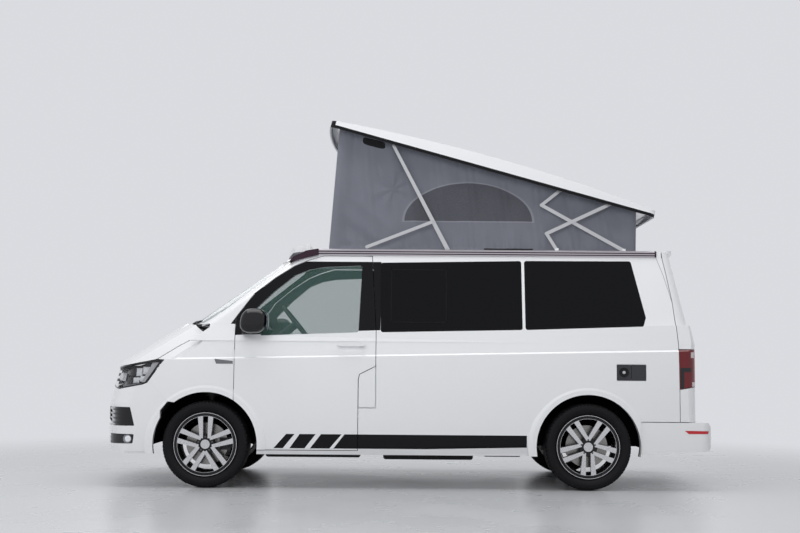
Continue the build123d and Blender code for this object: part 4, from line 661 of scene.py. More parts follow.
CORNERS = (
    ("front_left", FRONT_AXLE_X, LEFT), ("front_right", FRONT_AXLE_X, RIGHT),
    ("rear_left", REAR_AXLE_X, LEFT), ("rear_right", REAR_AXLE_X, RIGHT),
)
tyre_x, tyre_y, tyre_z = tyre_grid()
for corner, axle_x, side in CORNERS:
    grid = np.stack([axle_x + tyre_x, side * (WHEEL_Y + tyre_y), WHEEL_Z + tyre_z], axis=-1)
    tyre = joined_object(f"tyre_tread_{corner}", [grid if side < 0 else grid[::-1]], rubber, close_rows=True)
    fitted(tyre, f"wheel_{corner}", replaces=f"tyre_{corner}")
print("tyres:", len(CORNERS), "faces each:", len(tyre.data.polygons))

# %% [markdown]
# The raised roof has walls of coated cloth, sewn into one band that runs all round from the
# roof's skin to the lid. It could be simulated, but it is held tight at both edges, so a
# formula says its shape well: a rounded rectangle in plan, ruled from foot to top.

# %% Canvas surface
FOOT_Z = 1.8905
FRONT_FOOT_X, REAR_FOOT_X = -0.617, 1.9035
FRONT_TOP_X, REAR_TOP_X = -0.538, 1.9105
CANVAS_Y = 0.598
CANVAS_CORNER = 0.045
SIDE_POINTS, END_POINTS, CORNER_POINTS = 260, 110, 6
FOLD_EASE = 0.10
LID_POINTS = ((-0.5402, 2.9236), (0.4787, 2.7062), (1.9132, 2.2655))
STAR_X, STAR_UP = -0.09, 0.52


def circle_through(points):
    """Centre and radius of the circle through three points."""
    (x1, y1), (x2, y2), (x3, y3) = points
    a = np.array([[2 * (x2 - x1), 2 * (y2 - y1)], [2 * (x3 - x1), 2 * (y3 - y1)]])
    b = np.array([x2 * x2 - x1 * x1 + y2 * y2 - y1 * y1, x3 * x3 - x1 * x1 + y3 * y3 - y1 * y1])
    centre = np.linalg.solve(a, b)
    return centre, float(np.hypot(x1 - centre[0], y1 - centre[1]))


LID_CENTRE, LID_RADIUS = circle_through(LID_POINTS)


def lid_height(x):
    """Height of the lid's underside above a place along the van: an arc of a large circle."""
    return LID_CENTRE[1] + np.sqrt(LID_RADIUS ** 2 - (x - LID_CENTRE[0]) ** 2)


def rounded_loop(front, rear, half, radius, side_points, end_points, corner_points):
    """Plan of a rounded rectangle, from its front left corner along the left side and on round: x and y."""
    quarter = np.linspace(0, np.pi / 2, corner_points, endpoint=False)[:, None]
    middle = np.array([(front + rear) / 2, 0.0])
    sides = ((rear - front) / 2, half, side_points), (half, (rear - front) / 2, end_points)
    parts = []
    for number, along in enumerate(((1, 0), (0, 1), (-1, 0), (0, -1))):
        reach, width, count = sides[number % 2]
        along, out = np.array(along), np.array((along[1], -along[0]))
        run = np.linspace(-1, 1, count, endpoint=False)[:, None]
        parts.append(middle + run * (reach - radius) * along + width * out)
        round_along = reach - radius + radius * np.sin(quarter)
        round_out = width - radius + radius * np.cos(quarter)
        parts.append(middle + round_along * along + round_out * out)
    return np.concatenate(parts).T


def bell(value, width):
    """1 at 0, falling smoothly on both sides."""
    return np.exp(-((value / width) ** 2))


def wave(angle):
    """Wave from 0 to 2."""
    return 1 + np.sin(angle)


def fold_depth(x, rise, height):
    """How far the cloth sinks in: a slack belly, folds, hem creases, a star pucker and a pulled corner."""
    belly = 0.010 * np.sin(np.pi * np.clip(rise, 0, 1)) * np.clip(height, 0, 1)
    upright = 0.0035 * wave(x * 31.0 + 2.2 * np.sin(rise * 3.1 + x * 1.7))
    slanted = 0.0055 * wave(17.0 * (x + 0.55 * rise * height) + 1.3 * np.sin(9.0 * x))
    fine = 0.0016 * wave(71.0 * x + 11.0 * rise + 2.0 * np.sin(23.0 * x))
    up = rise * height
    reach = np.hypot(x - STAR_X, up - STAR_UP)
    star = 0.006 * bell(reach, 0.20) * wave(7.0 * np.arctan2(up - STAR_UP, x - STAR_X))
    corner = 0.0070 * (bell(x + 0.42, 0.30) * bell(up, 0.45)) * wave(34.0 * (0.75 * x + up))
    hems = np.exp(-rise / 0.10) + np.exp(-(1 - rise) / 0.08)
    puckers = 0.0042 * wave(118.0 * x + 1.5 * np.sin(13.0 * x)) * hems
    held = np.clip(rise / 0.05, 0, 1) * np.clip((1 - rise) / 0.03, 0, 1)
    return (belly + upright + slanted + fine + puckers + star + corner) * held


def canvas_grid(rows=72):
    """Plan loop carried from foot to lid: every upright is straight, then sinks in by the folds."""
    counts = (SIDE_POINTS, END_POINTS, CORNER_POINTS)
    foot_x, y = rounded_loop(FRONT_FOOT_X, REAR_FOOT_X, CANVAS_Y, CANVAS_CORNER, *counts)
    share = (foot_x - FRONT_FOOT_X) / (REAR_FOOT_X - FRONT_FOOT_X)
    top_x = FRONT_TOP_X + share * (REAR_TOP_X - FRONT_TOP_X)
    rise = np.linspace(0, 1, rows)[:, None]
    x = foot_x[None, :] + rise * (top_x - foot_x)[None, :]
    height = lid_height(top_x)[None, :] - FOOT_Z
    side = np.abs(y)[None, :] > CANVAS_Y - 0.001
    depth = fold_depth(np.where(side, x, y[None, :] + 7.0), rise, height)
    near_end = np.minimum(foot_x - FRONT_FOOT_X, REAR_FOOT_X - foot_x)[None, :]
    side_ease = smooth_step(near_end, CANVAS_CORNER, CANVAS_CORNER + FOLD_EASE)
    end_ease = smooth_step(CANVAS_Y - np.abs(y), CANVAS_CORNER, CANVAS_CORNER + FOLD_EASE)[None, :]
    y_in = np.sign(y)[None, :] * depth * np.where(side, side_ease, 0)
    inward = np.where(foot_x < 0.5, 1.0, -1.0)[None, :]
    x_in = inward * depth * np.where(side, 0, end_ease) * (near_end < 0.001)
    return np.stack([x + x_in, y[None, :] - y_in, FOOT_Z + rise * height], axis=-1)


def cloth_uv(points, faces):
    """Flat place of each face corner on the cut cloth: (x, z) on the sides, (y + 10, z) on the ends."""
    corner = points[faces]
    middle = corner.mean(axis=1)
    side = np.abs(middle[:, 1]) > CANVAS_Y - 0.030
    side &= (middle[:, 0] > FRONT_FOOT_X + 0.02) & (middle[:, 0] < REAR_TOP_X - 0.02)
    across = np.where(side[:, None], corner[:, :, 0], corner[:, :, 1] + 10.0)
    return np.stack([across, corner[:, :, 2]], axis=-1).reshape(-1, 2)


print("lid arc radius:", round(LID_RADIUS, 3), "m")

# %% [markdown]
# The canvas is a matt grey-blue weave. In each side it has a half-moon window of black mesh
# with a pale piping round it, a vent slot near its front top corner and a black strip at its
# foot. All are masks on the cloth's own UV map, so they stay put on the cloth.

# %% Canvas finish
WINDOW_FRONT_X, WINDOW_REAR_X = 0.004, 1.053
WINDOW_FOOT_Z, WINDOW_TOP_Z = 2.150, 2.463
PIPING = 0.010
VENT_X, VENT_Z, VENT_FALL = -0.251, 2.791, -0.245
VENT_HALF_LENGTH, VENT_HALF_HEIGHT = 0.093, 0.031
STRIP_X, STRIP_HALF_LENGTH, STRIP_TOP_Z = 0.858, 0.200, 1.925


def canvas_finish():
    """Woven cloth; inside the half-moon, black mesh; round it, piping."""
    material, shader, _ = start_material("canvas_cloth", (0.12, 0.125, 0.16, 1), 0.85)
    cut = add_node(material.node_tree, "ShaderNodeUVMap", uv_map="cloth").outputs[0]
    weave = use_group(weave_group, cut, Pitch=2600.0)
    x, z, _ = xyz(cut)
    half, rise = (WINDOW_REAR_X - WINDOW_FRONT_X) / 2, WINDOW_TOP_Z - WINDOW_FOOT_Z
    up = (z - WINDOW_FOOT_Z) / rise
    reach = abs((x - (WINDOW_FRONT_X + half)) / half) ** 1.9 + abs(up) ** 2.0
    window = (reach < 1.0) & (up > 0.0)
    piping = ((reach < 1.07) & (up > -PIPING / rise)) - window
    cloth = mix_colour(weave["Shade"], (0.135, 0.142, 0.172, 1), (0.185, 0.192, 0.228, 1))
    cell_values = {"Vector": cut, "Scale": 300.0}
    cells = add_node(material.node_tree, "ShaderNodeTexVoronoi", cell_values, feature="DISTANCE_TO_EDGE")
    strand = Signal(cells.outputs[0]) < 0.14
    mesh = mix_colour(strand, (0.040, 0.042, 0.052, 1), (0.085, 0.088, 0.105, 1))
    colour = mix_colour(piping, mix_colour(window, cloth, mesh), (0.22, 0.225, 0.26, 1))
    vent_along = (x - VENT_X) / VENT_HALF_LENGTH
    vent_up = (z - ((x - VENT_X) * VENT_FALL + VENT_Z)) / VENT_HALF_HEIGHT
    vent = abs(vent_along) ** 6.0 + abs(vent_up) ** 3.0 < 1.0
    strip = x.use("COMPARE", STRIP_X, STRIP_HALF_LENGTH) & (z < STRIP_TOP_Z)
    set_inputs(shader, {
        "Base Color": mix_colour(vent | strip, colour, INK),
        "Roughness": mix_value(window, 0.85, 0.7),
        "Sheen Weight": 0.15,
    })
    bump(shader, piping * 6.0 + weave["Height"], 0.25, 0.0006)
    return material


canvas_points = canvas_grid()
canvas_faces = grid_faces(*canvas_points.shape[:2], close_columns=True)
flat_points = canvas_points.reshape(-1, 3)
cut_places = cloth_uv(flat_points, canvas_faces)
canvas = new_object("roof_cloth", flat_points, canvas_faces, canvas_finish(), uv=cut_places)
fitted(canvas, "body", replaces="roof_canvas")
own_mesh(canvas)

# %% [markdown]
# The two cab seats are foam on a plain base: a cushion, a backrest with side bolsters and a
# head restraint on two posts. Each pad is a rounded box whose sides pull in, with sewn
# channels pressed into its face.

# %% Cab seats
seat_cloth, seat_shader, seat_place = start_material("seat_cloth", (0.05, 0.052, 0.058, 1), 0.85)
seat_weave = use_group(weave_group, seat_place, Pitch=1500.0)
set_inputs(seat_shader, {
    "Base Color": mix_colour(seat_weave["Shade"], (0.034, 0.036, 0.042, 1), (0.075, 0.078, 0.086, 1)),
    "Sheen Weight": 0.2,
})
bump(seat_shader, seat_weave["Height"], 0.3, 0.0008)
SEAT_Y, BOLSTERS, POSTS = 0.430, (-0.180, 0.180), (-0.06, 0.06)
BACK_LEAN = 0.16
POST_LINE = ((-0.236, 1.40), (-0.233, 1.44), (-0.230, 1.48))
CHANNEL_DEPTH, CHANNEL_WIDTH = 0.010, 0.07


def pad(centre, half, lean=0.0, channels=0, channel_axis=0, crown=0.0):
    """Cushion: a rounded box with a crowned face and pressed channels, leaned about its foot along X."""
    grid = squircle_blob((0, 0, 0), half, 4.0, 3.4, rows=36, columns=64)
    x, y, z = grid[..., 0], grid[..., 1], grid[..., 2]
    if channels:
        along = (grid[..., channel_axis] / half[channel_axis] + 1) / 2 * channels
        groove = bell(along % 1.0 - 0.5, CHANNEL_WIDTH)
        face = 0 if channel_axis == 2 else 2
        inside = np.clip(1.4 - 1.6 * np.abs(y / half[1]), 0, 1)
        grid[..., face] -= CHANNEL_DEPTH * groove * inside * np.sign(grid[..., face])
    if crown:
        bulge = (1 - (y / half[1]) ** 2) * (1 - np.abs(z / half[2]) ** 2)
        grid[..., 0] += crown * bulge * np.sign(x)
    turned_x = x * np.cos(lean) + z * np.sin(lean)
    turned_z = z * np.cos(lean) - x * np.sin(lean)
    return np.stack([turned_x + centre[0], y + centre[1], turned_z + centre[2]], axis=-1)


def add_pad(name, grids):
    """Padded piece joined from closed pads."""
    piece = fitted(joined_object(name, grids, seat_cloth), "body")
    return piece


for hand, side in HANDS:
    y = side * SEAT_Y
    cushion = add_pad(f"seat_cushion_{hand}", [pad((-0.565, y, 0.853), (0.272, 0.246, 0.070), 0.03, 4, 0)])
    back = pad((-0.285, y, 1.165), (0.058, 0.222, 0.285), BACK_LEAN, 5, 2, 0.006)
    bolsters = [pad((-0.318, y + out, 1.130), (0.050, 0.042, 0.230), BACK_LEAN) for out in BOLSTERS]
    add_pad(f"seat_back_{hand}", [back, *bolsters])
    add_pad(f"head_restraint_{hand}", [pad((-0.229, y, 1.522), (0.034, 0.128, 0.088), 0.10)])
    base = squircle_blob((-0.545, y, 0.690), (0.214, 0.189, 0.098), 9, 9)
    fitted(joined_object(f"seat_base_{hand}", [base], dash_plastic), "body")
    posts = [tube_grid([(x, y + out, z) for x, z in POST_LINE], 0.006) for out in POSTS]
    fitted(joined_object(f"head_posts_{hand}", posts, bar_metal), "body")
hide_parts("front_seats")
print("seats: 2, with", len(cushion.data.polygons), "faces a cushion")

# %% [markdown]
# Behind them stands the rear bench, which folds down flat as a bed. Its two cushions and
# its back are pads of the same kind, on a painted box.

# %% Rear bench
BENCH_Y = (-0.145, 0.365)
bench_pads = [pad((0.875, y, 0.872), (0.278, 0.252, 0.066), 0.02, 3, 0) for y in BENCH_Y]
bench_seat = add_pad("bench_seat", bench_pads)
add_pad("bench_back", [pad((1.210, y, 1.190), (0.064, 0.252, 0.290), 0.15, 4, 2) for y in BENCH_Y])
bench_box = squircle_blob((0.870, 0.100, 0.700), (0.249, 0.499, 0.107), 10, 10)
fitted(joined_object("bench_box", [bench_box], cabin_board), "body")
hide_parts("rear_bench")
print("bench pads:", 2 * len(BENCH_Y))

# %% [markdown]
# The small trim lies on the body's curved skin. A line sent across the van meets the skin of
# the frame's own panels, which gives a point and the way the skin faces there. A plate is a
# patch of such points between two heights over the skin, so it follows every curve.

# %% Plates on the skin
def skin_of(*names):
    """Search tree over the surfaces of some of the frame's nodes."""
    points, faces = [], []
    for name in names:
        mesh = nodes[name].data
        faces += [[len(points) + index for index in face.vertices] for face in mesh.polygons]
        points += [vertex.co.copy() for vertex in mesh.vertices]
    return BVHTree.FromPolygons(points, faces)


def laid_on(skin, flat, side):
    """Points on the skin, and its outward normals, at flat (x, z) places seen from one side."""
    points, normals = np.empty(flat.shape[:-1] + (3,)), np.empty(flat.shape[:-1] + (3,))
    aim = Vector((0, -side, 0))
    last = (Vector((flat[..., 0].mean(), side * 0.93, flat[..., 1].mean())), -aim)
    for index in np.ndindex(flat.shape[:-1]):
        hit, normal = skin.ray_cast(Vector((flat[index][0], 3.0 * side, flat[index][1])), aim)[:2]
        if hit is not None:
            last = (hit, -normal if normal.dot(aim) > 0 else normal)
        points[index], normals[index] = last
    return points, normals


def quad(corners, rows=8, columns=12):
    """Flat (x, z) places spread over a four-cornered patch, corners given in turn."""
    a, b, c, d = (np.array(corner, dtype=float) for corner in corners)
    u = np.linspace(0, 1, columns)[None, :, None]
    v = np.linspace(0, 1, rows)[:, None, None]
    return (1 - v) * ((1 - u) * a + u * b) + v * ((1 - u) * d + u * c)


def box_quad(x_low, x_high, z_low, z_high, rows=8, columns=12):
    """Flat places over an upright rectangle."""
    return quad(((x_low, z_low), (x_high, z_low), (x_high, z_high), (x_low, z_high)), rows, columns)


def ribbon(path, width, step=0.012):
    """Flat places over a band of a given width to the left of a path."""
    path = np.asarray(path, dtype=float)
    lengths = np.linalg.norm(np.diff(path, axis=0), axis=1)
    marks = np.concatenate([[0], np.cumsum(lengths)])
    spots = np.unique(np.concatenate([np.arange(0, marks[-1], step), marks]))
    line = np.stack([np.interp(spots, marks, path[:, axis]) for axis in (0, 1)], axis=-1)
    along = np.gradient(line, axis=0)
    along /= np.linalg.norm(along, axis=1, keepdims=True)
    left = np.stack([-along[:, 1], along[:, 0]], axis=-1)
    return np.stack([line, line + left * width], axis=0)


def disc(centre, radius, rings=6, turns=28):
    """Flat places over a round patch."""
    reach = np.linspace(0.02, 1, rings)[:, None]
    turn = np.linspace(0, 2 * np.pi, turns + 1)[None, :]
    x, z = radius * reach * np.cos(turn), radius * reach * np.sin(turn)
    return np.stack([centre[0] + x, centre[1] + z], axis=-1)


def plate(skin, flat, side, top, bottom, dome=0.0):
    """Closed box of points between two heights over the skin, its top bulging by dome."""
    points, normals = laid_on(skin, flat, side)
    rows, columns = flat.shape[:2]
    u = np.linspace(-1, 1, columns)[None, :]
    v = np.linspace(-1, 1, rows)[:, None]
    bulge = (top + dome * (1 - np.maximum(u ** 2, v ** 2)))[..., None]
    outer, inner = points + normals * bulge, points + normals * bottom
    rim = [np.concatenate([inner[:1], outer, inner[-1:]], axis=0)]
    left, right = rim[0][:, :1].copy(), rim[0][:, -1:].copy()
    left[1:-1], right[1:-1] = inner[:, :1], inner[:, -1:]
    sheet = np.concatenate([left, rim[0], right], axis=1)
    return sheet if side < 0 else sheet[:, ::-1]


def trim(name, side, skin, patches, material, slot, body="body", smooth=False):
    """One object from plates on the skin, each given as flat places followed by its heights."""
    sheets = [plate(skin, flat, side, *heights) for flat, *heights in patches]
    return fitted(joined_object(name, sheets, material, smooth, close_columns=False), body)


def trim_sides(rows, **replaced):
    """The trim of every row on the left, then on the right; a named left piece replaces a node."""
    for hand, side in HANDS:
        for name, *settings in rows:
            piece = trim(f"{name}_{hand}", side, *settings)
            if name in replaced and side == LEFT:
                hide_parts(replaced[name])


print("plate helpers ready")

# %% [markdown]
# Behind each clear headlamp cover is a dark bowl. In it stand light units with domed chrome
# faces in two rows, painted pale: a painted reflection of the chrome. Below them is a long blade
# for the day light, and at the rear a pale wall. A black bead frames the cover. The fog lamp is a
# round unit in a black slot, its eye painted pale in the same way.

# %% Lamps
lens_clear = glass("lens_clear", (0.10, 0.10, 0.11, 1), 0.10, 0.01)
lamp_black = grained("lamp_black", (0.016, 0.016, 0.018, 1), 0.3, 90.0, 0.0002, 0.1, coat=0.2, specular=0.3)
lamp_grey = grained("lamp_grey", (0.22, 0.23, 0.25, 1), 0.3, 90.0, 0.0002, 0.1)
# the light units and the fog lamp's eye: a pale colour that stands in for their chrome's shine, a painted reflection
lamp_chrome_painted_reflection = grained("lamp_chrome_painted_reflection", (0.80, 0.82, 0.86, 1), 0.16, 90.0, 0.0002, 0.06, coat=0.5)
lamp_wall = grained("lamp_wall", (0.50, 0.51, 0.54, 1), 0.25, 90.0, 0.0002, 0.06)
LAMP_EDGE = ((-2.385, 0.925), (-2.204, 0.9495), (-1.948, 0.9895), (-1.8875, 0.990),
             (-2.0115, 0.8145), (-2.042, 0.8015), (-2.239, 0.7645), (-2.370, 0.783))
LAMP_QUAD = ((-2.370, 0.795), (-2.025, 0.812), (-1.905, 0.982), (-2.370, 0.918))
UNITS = ((-2.105, -2.048, 0.868, 0.930), (-2.042, -1.988, 0.880, 0.938), (-2.130, -2.072, 0.812, 0.856),
         (-2.066, -2.010, 0.822, 0.866), (-2.338, -2.312, 0.835, 0.895), (-2.300, -2.262, 0.835, 0.895))
BLADE = ((-2.215, 0.776), (-2.050, 0.797), (-2.040, 0.812), (-2.215, 0.794))
PALE_WALL = ((-2.052, 0.818), (-2.022, 0.818), (-1.918, 0.975), (-1.965, 0.972))
FOG_QUAD = ((-2.300, 0.342), (-2.112, 0.343), (-2.104, 0.411), (-2.300, 0.412))
FOG_CENTRE, EYE_CENTRE = (-2.152, 0.377), (-2.152 + 0.006, 0.377)
FOG_RADIUS, EYE_SHARE = 0.033, 0.72
BEAD = (0.0012, -0.002)

dress("headlamps", lamp_black)
dress("lamp_lenses", lens_clear)
lens_skin = skin_of("lamp_lenses")
fog_slot = quad(FOG_QUAD, 5, 14)
bowl = [(quad(LAMP_QUAD, 10, 24), -0.062, -0.068), (fog_slot, -0.020, -0.024)]
units = [(box_quad(*unit), -0.026, -0.055, 0.010) for unit in UNITS]
bead = [(ribbon(LAMP_EDGE[:4], -0.011), *BEAD), (ribbon(LAMP_EDGE[3:5], -0.011), *BEAD),
        (ribbon(LAMP_EDGE[4:], -0.008), *BEAD), (fog_slot, 0.0006, -0.002)]
blade, wall = [(quad(BLADE, 4, 26), -0.012, -0.050)], [(quad(PALE_WALL, 12, 5), -0.010, -0.050)]
fog_ring = [(disc(FOG_CENTRE, FOG_RADIUS), 0.0022, 0.0004)]
fog_eye = [(disc(EYE_CENTRE, FOG_RADIUS * EYE_SHARE), 0.0036, 0.0010)]
trim_sides((
    ("lamp_bowl", lens_skin, bowl, lamp_black, "lamp_housing"),
    ("lamp_units", lens_skin, units, lamp_chrome_painted_reflection, "lamp_housing"),
    ("lamp_blade", lens_skin, blade, lamp_grey, "lamp_housing"),
    ("lamp_wall", lens_skin, wall, lamp_wall, "lamp_housing"),
    ("lamp_bead", lens_skin, bead, lamp_black, "lamp_housing"),
    ("fog_ring", lens_skin, fog_ring, lamp_grey, "lamp_housing"),
    ("fog_eye", lens_skin, fog_eye, lamp_chrome_painted_reflection, "lens", "body", True),
), lamp_bowl="headlamps")
print("lamps:", len(UNITS), "units a side")

# %% [markdown]
# The tail lamps are deep red with a bright light guide at the outer edge, dark bars across
# the middle and two pale spots. Under them, a red reflector lies on each side of the bumper.

# %% Tail lamps
lens_bright = grained("lens_bright", (0.50, 0.010, 0.020, 1), 0.12, 30.0, 0.0001, 0.04,
                      coat=0.4, specular=0.3)
lens_pale = grained("lens_pale", (0.62, 0.55, 0.56, 1), 0.10, 30.0, 0.0001, 0.04, coat=0.5)
DARK_BARS = ((2.176, 2.262, 0.930, 0.962), (2.176, 2.206, 0.800, 0.930))
GUIDE = (2.296, 2.318, 0.842, 1.062)
PALE_SPOTS = ((2.262, 2.290, 1.040, 1.085), (2.272, 2.300, 0.815, 0.850))
REFLECTOR = ((2.238, 0.447), (2.392, 0.448), (2.400, 0.470), (2.206, 0.472))
tail_skin, bumper_skin = skin_of("tail_lamps"), skin_of("rear_bumper")
bars = [(box_quad(*bar), 0.0008, -0.002) for bar in DARK_BARS]
spots = [(box_quad(*spot, 5, 5), 0.0012, -0.002) for spot in PALE_SPOTS]
guide = [(box_quad(*GUIDE, 14, 4), 0.0010, -0.002)]
reflector = [(quad(REFLECTOR, 4, 18), 0.0015, -0.002)]
trim_sides((
    ("tail_bars", tail_skin, bars, lamp_black, "red_lens", "tailgate_door"),
    ("tail_guide", tail_skin, guide, lens_bright, "red_lens", "tailgate_door"),
    ("tail_spots", tail_skin, spots, lens_pale, "red_lens", "tailgate_door"),
    ("bumper_reflector", bumper_skin, reflector, lens_bright, "red_lens"),
))
print("tail lamps and reflectors done")

# %% [markdown]
# Thin lines drawn on the side: the fender's dark strip, the edge of the sliding pane in each
# side window, the seam down the rear pillar, and the round cap in the service flap. Each is a
# patch, ribbon or disc on the panel that carries it.

# %% Side trim
bead_black = grained("bead_black", (0.004, 0.004, 0.005, 1), 0.45, 300.0, 0.0002, specular=0.15)
seam_grey = grained("seam_grey", (0.30, 0.30, 0.31, 1), 0.5, 300.0, 0.0002)
strip_grey = grained("strip_grey", (0.20, 0.205, 0.22, 1), 0.25, 80.0, 0.0002, metallic=0.7)
cap_grey = grained("cap_grey", (0.55, 0.55, 0.57, 1), 0.3, 90.0, 0.0002, metallic=0.5)
PANE_EDGE = ((-0.100, 1.302), (0.347, 1.302), (0.347, 1.735), (-0.100, 1.735))
PILLAR_SEAM = ((2.028, 1.835), (2.075, 1.700), (2.150, 1.420), (2.190, 1.240))
FLAP_CAP, CAP_RADIUS, LOCK_RADIUS = (1.734, 0.923), 0.038, 0.012
FENDER_STRIP = ((-1.466, 0.968), (-1.335, 0.968), (-1.335, 0.990), (-1.480, 1.006))
side_skin = skin_of("side_panel_left", "side_windows", "service_flaps", "sliding_door", "side_panel_right")
fender_skin = skin_of("front_fender_left", "front_fender_right")
edge_lines = zip(PANE_EDGE, PANE_EDGE[1:] + PANE_EDGE[:1])
edges = [(ribbon(line, 0.009), 0.0015, -0.001) for line in edge_lines]
seam = [(ribbon(PILLAR_SEAM, 0.004), 0.0006, -0.001)]
strip = [(quad(FENDER_STRIP, 4, 14), 0.0025, -0.002)]
trim_sides((
    ("pane_edge", side_skin, edges, bead_black, "black_plastic"),
    ("pillar_seam", side_skin, seam, seam_grey, "black_plastic"),
    ("fender_strip", fender_skin, strip, strip_grey, "black_gloss"),
))
cap, lock = [(disc(FLAP_CAP, CAP_RADIUS), 0.0030, -0.001)], [(disc(FLAP_CAP, LOCK_RADIUS), 0.0055, 0.001)]
trim("flap_cap", LEFT, side_skin, cap, black_plastic, "black_plastic")
trim("flap_lock", LEFT, side_skin, lock, cap_grey, "aluminium")
print("side trim done")

# %% [markdown]
# A door mirror is a rounded shell leaning back at its top, on a short foot, with its glass
# facing the rear. It turns with its door, so it rides the door's body and stands in for the
# frame's plain block.

# %% Door mirrors
MIRROR_Y, MIRROR_Z = 1.052, 1.303


def leaning_blob(centre, half, lean):
    """Rounded box whose x grows with height, its far side drawn in towards the top."""
    blob = squircle_blob(centre, half, 3.2, 2.7, 30, 44)
    up = (blob[..., 2] - centre[2]) / half[2]
    blob[..., 0] += lean * up * half[2]
    blob[..., 0] = centre[0] + (blob[..., 0] - centre[0]) * (1 - 0.10 * np.clip(up, 0, 1))
    return blob


mirror_glass = grained("mirror_glass", (0.30, 0.33, 0.36, 1), 0.05, 40.0, 0.0001, 0.02, metallic=0.9)
for hand, side in HANDS:
    shell = leaning_blob((-1.163, side * MIRROR_Y, MIRROR_Z), (0.104, 0.090, 0.097), 0.10)
    foot = leaning_blob((-1.222, side * 0.945, 1.222), (0.045, 0.035, 0.024), 0.4)
    pane = squircle_blob((-1.0530, side * MIRROR_Y, MIRROR_Z), (0.005, 0.066, 0.070), 2.4, 2.6)
    mirror = joined_object(f"mirror_shell_{hand}", [shell, foot], black_gloss)
    fitted(mirror, f"door_{hand}", replaces=f"door_mirror_{hand}")
    fitted(joined_object(f"mirror_pane_{hand}", [pane], mirror_glass), f"door_{hand}")
print("mirrors done")

# %% [markdown]
# Each wheel has a plain cap in its hub and five bolts round it. They are turned shapes: a
# profile of radius and distance outboard swept round the axle.

# %% Wheel caps and bolts
HUB_FACE_Y = WHEEL_Y + 0.096
CAP_PROFILE = ((0.0005, 0.0075), (0.018, 0.0070), (0.026, 0.0050),
               (0.0295, 0.0030), (0.0315, 0.0032), (0.0335, -0.001))
BOLT_PROFILE = ((0.0005, 0.0090), (0.0060, 0.0090), (0.0085, 0.0075), (0.0095, -0.001))
BOLT_CIRCLE = 0.056
BOLT_TURNS = [2 * np.pi * k / 5 + np.pi / 2 for k in range(5)]


def turned(profile, x, z, side, sides=24):
    """Profile of (radius, height over the hub face) swept round a line across the van."""
    profile = np.array(profile)
    turn = np.linspace(0, 2 * np.pi, sides, endpoint=False)[None, :]
    radius, height = profile[:, 0][:, None], profile[:, 1][:, None]
    y = side * (HUB_FACE_Y + height) * np.ones_like(turn)
    grid = np.stack([x + radius * np.cos(turn), y, z + radius * np.sin(turn)], axis=-1)
    return grid if side > 0 else grid[:, ::-1]


cap_dark = grained("cap_dark", (0.05, 0.05, 0.053, 1), 0.3, 90.0, 0.0002, metallic=0.6)
bolt_steel = grained("bolt_steel", (0.10, 0.10, 0.105, 1), 0.35, 90.0, 0.0002, metallic=0.8)
for corner, axle_x, side in CORNERS:
    cap = turned(CAP_PROFILE, axle_x, WHEEL_Z, side)
    centres = [(axle_x + BOLT_CIRCLE * np.cos(t), WHEEL_Z + BOLT_CIRCLE * np.sin(t)) for t in BOLT_TURNS]
    bolts = [turned(BOLT_PROFILE, x, z, side, 6) for x, z in centres]
    fitted(joined_object(f"wheel_cap_{corner}", [cap], cap_dark), f"wheel_{corner}")
    heads = joined_object(f"wheel_bolts_{corner}", bolts, bolt_steel, smooth=False)
    fitted(heads, f"wheel_{corner}")
print("caps and sets of bolts:", 2 * len(CORNERS))

# %% [markdown]
# The last small parts are a blank plate at each end, a stop light in the spoiler, the rear
# window's wiper and a short aerial on the roof. The tail parts open with the tailgate.

# %% Plates, wiper and aerial
PLATE_HALF, FRONT_PLATE = (0.0022, 0.260, 0.0555), (-2.4485, 0, 0.552)
REAR_PLATE_Z, STOP_Z = 0.720, 1.884
WIPER_Y, WIPER_Z, WIPER_REACH, WIPER_RISE = 0.02, 1.300, 0.46, 0.04
gate_skin = skin_of("tailgate", "tailgate_glass")


def slab_box(centre, half):
    """Plain box as a closed grid: four corners carried from one x to the other, with both ends drawn in."""
    x, y, z = centre
    rings = [(-half[0], 0.0), (-half[0], 1.0), (half[0], 1.0), (half[0], 0.0)]
    corners = [(v * half[1], w * half[2]) for v, w in ((-1, -1), (1, -1), (1, 1), (-1, 1))]
    return np.array([[(x + dx, y + dy * share, z + dz * share) for dy, dz in corners] for dx, share in rings])


def gate_hit(y, z):
    """Point where a line from behind meets the tailgate."""
    return gate_skin.ray_cast(Vector((3, y, z)), Vector((-1, 0, 0)))[0]


plate_white = grained("plate_white", (0.66, 0.66, 0.64, 1), 0.35, 60.0, 0.0002)
rear_plate = (gate_hit(0, REAR_PLATE_Z).x + 0.003, 0, REAR_PLATE_Z)
stop_place = (gate_hit(0, STOP_Z).x, 0, STOP_Z)
wiper_path = []
for share in np.linspace(0, 1, 14):
    y = WIPER_Y - WIPER_REACH * share
    hit = gate_hit(y, WIPER_Z + WIPER_RISE * share)
    wiper_path.append((hit.x + 0.016, y, hit.z))
pivot = squircle_blob((wiper_path[0][0] - 0.004, WIPER_Y, WIPER_Z), (0.020, 0.024, 0.024))
aerial = leaning_blob((-0.640, -0.300, 1.915), (0.026, 0.012, 0.022), 0.9)
stop = slab_box(stop_place, (0.0015, 0.150, 0.006))
LAST_PARTS = (
    ("plate_front", slab_box(FRONT_PLATE, PLATE_HALF), plate_white, False, "body", "white_paint"),
    ("plate_rear", slab_box(rear_plate, PLATE_HALF), plate_white, False, "tailgate_door", "white_paint"),
    ("rear_wiper", tube_grid(wiper_path, 0.0065), black_plastic, True, "tailgate_door", "black_plastic"),
    ("rear_wiper_boss", pivot, black_plastic, True, "tailgate_door", "black_plastic"),
    ("stop_light", stop, lens_red, False, "tailgate_door", "red_lens"),
    ("roof_aerial", aerial, black_gloss, True, "body", "black_gloss"),
)
for name, grid, material, smooth, body, slot in LAST_PARTS:
    fitted(joined_object(name, [grid], material, smooth), body)
print("plates, wiper, stop light and aerial done")

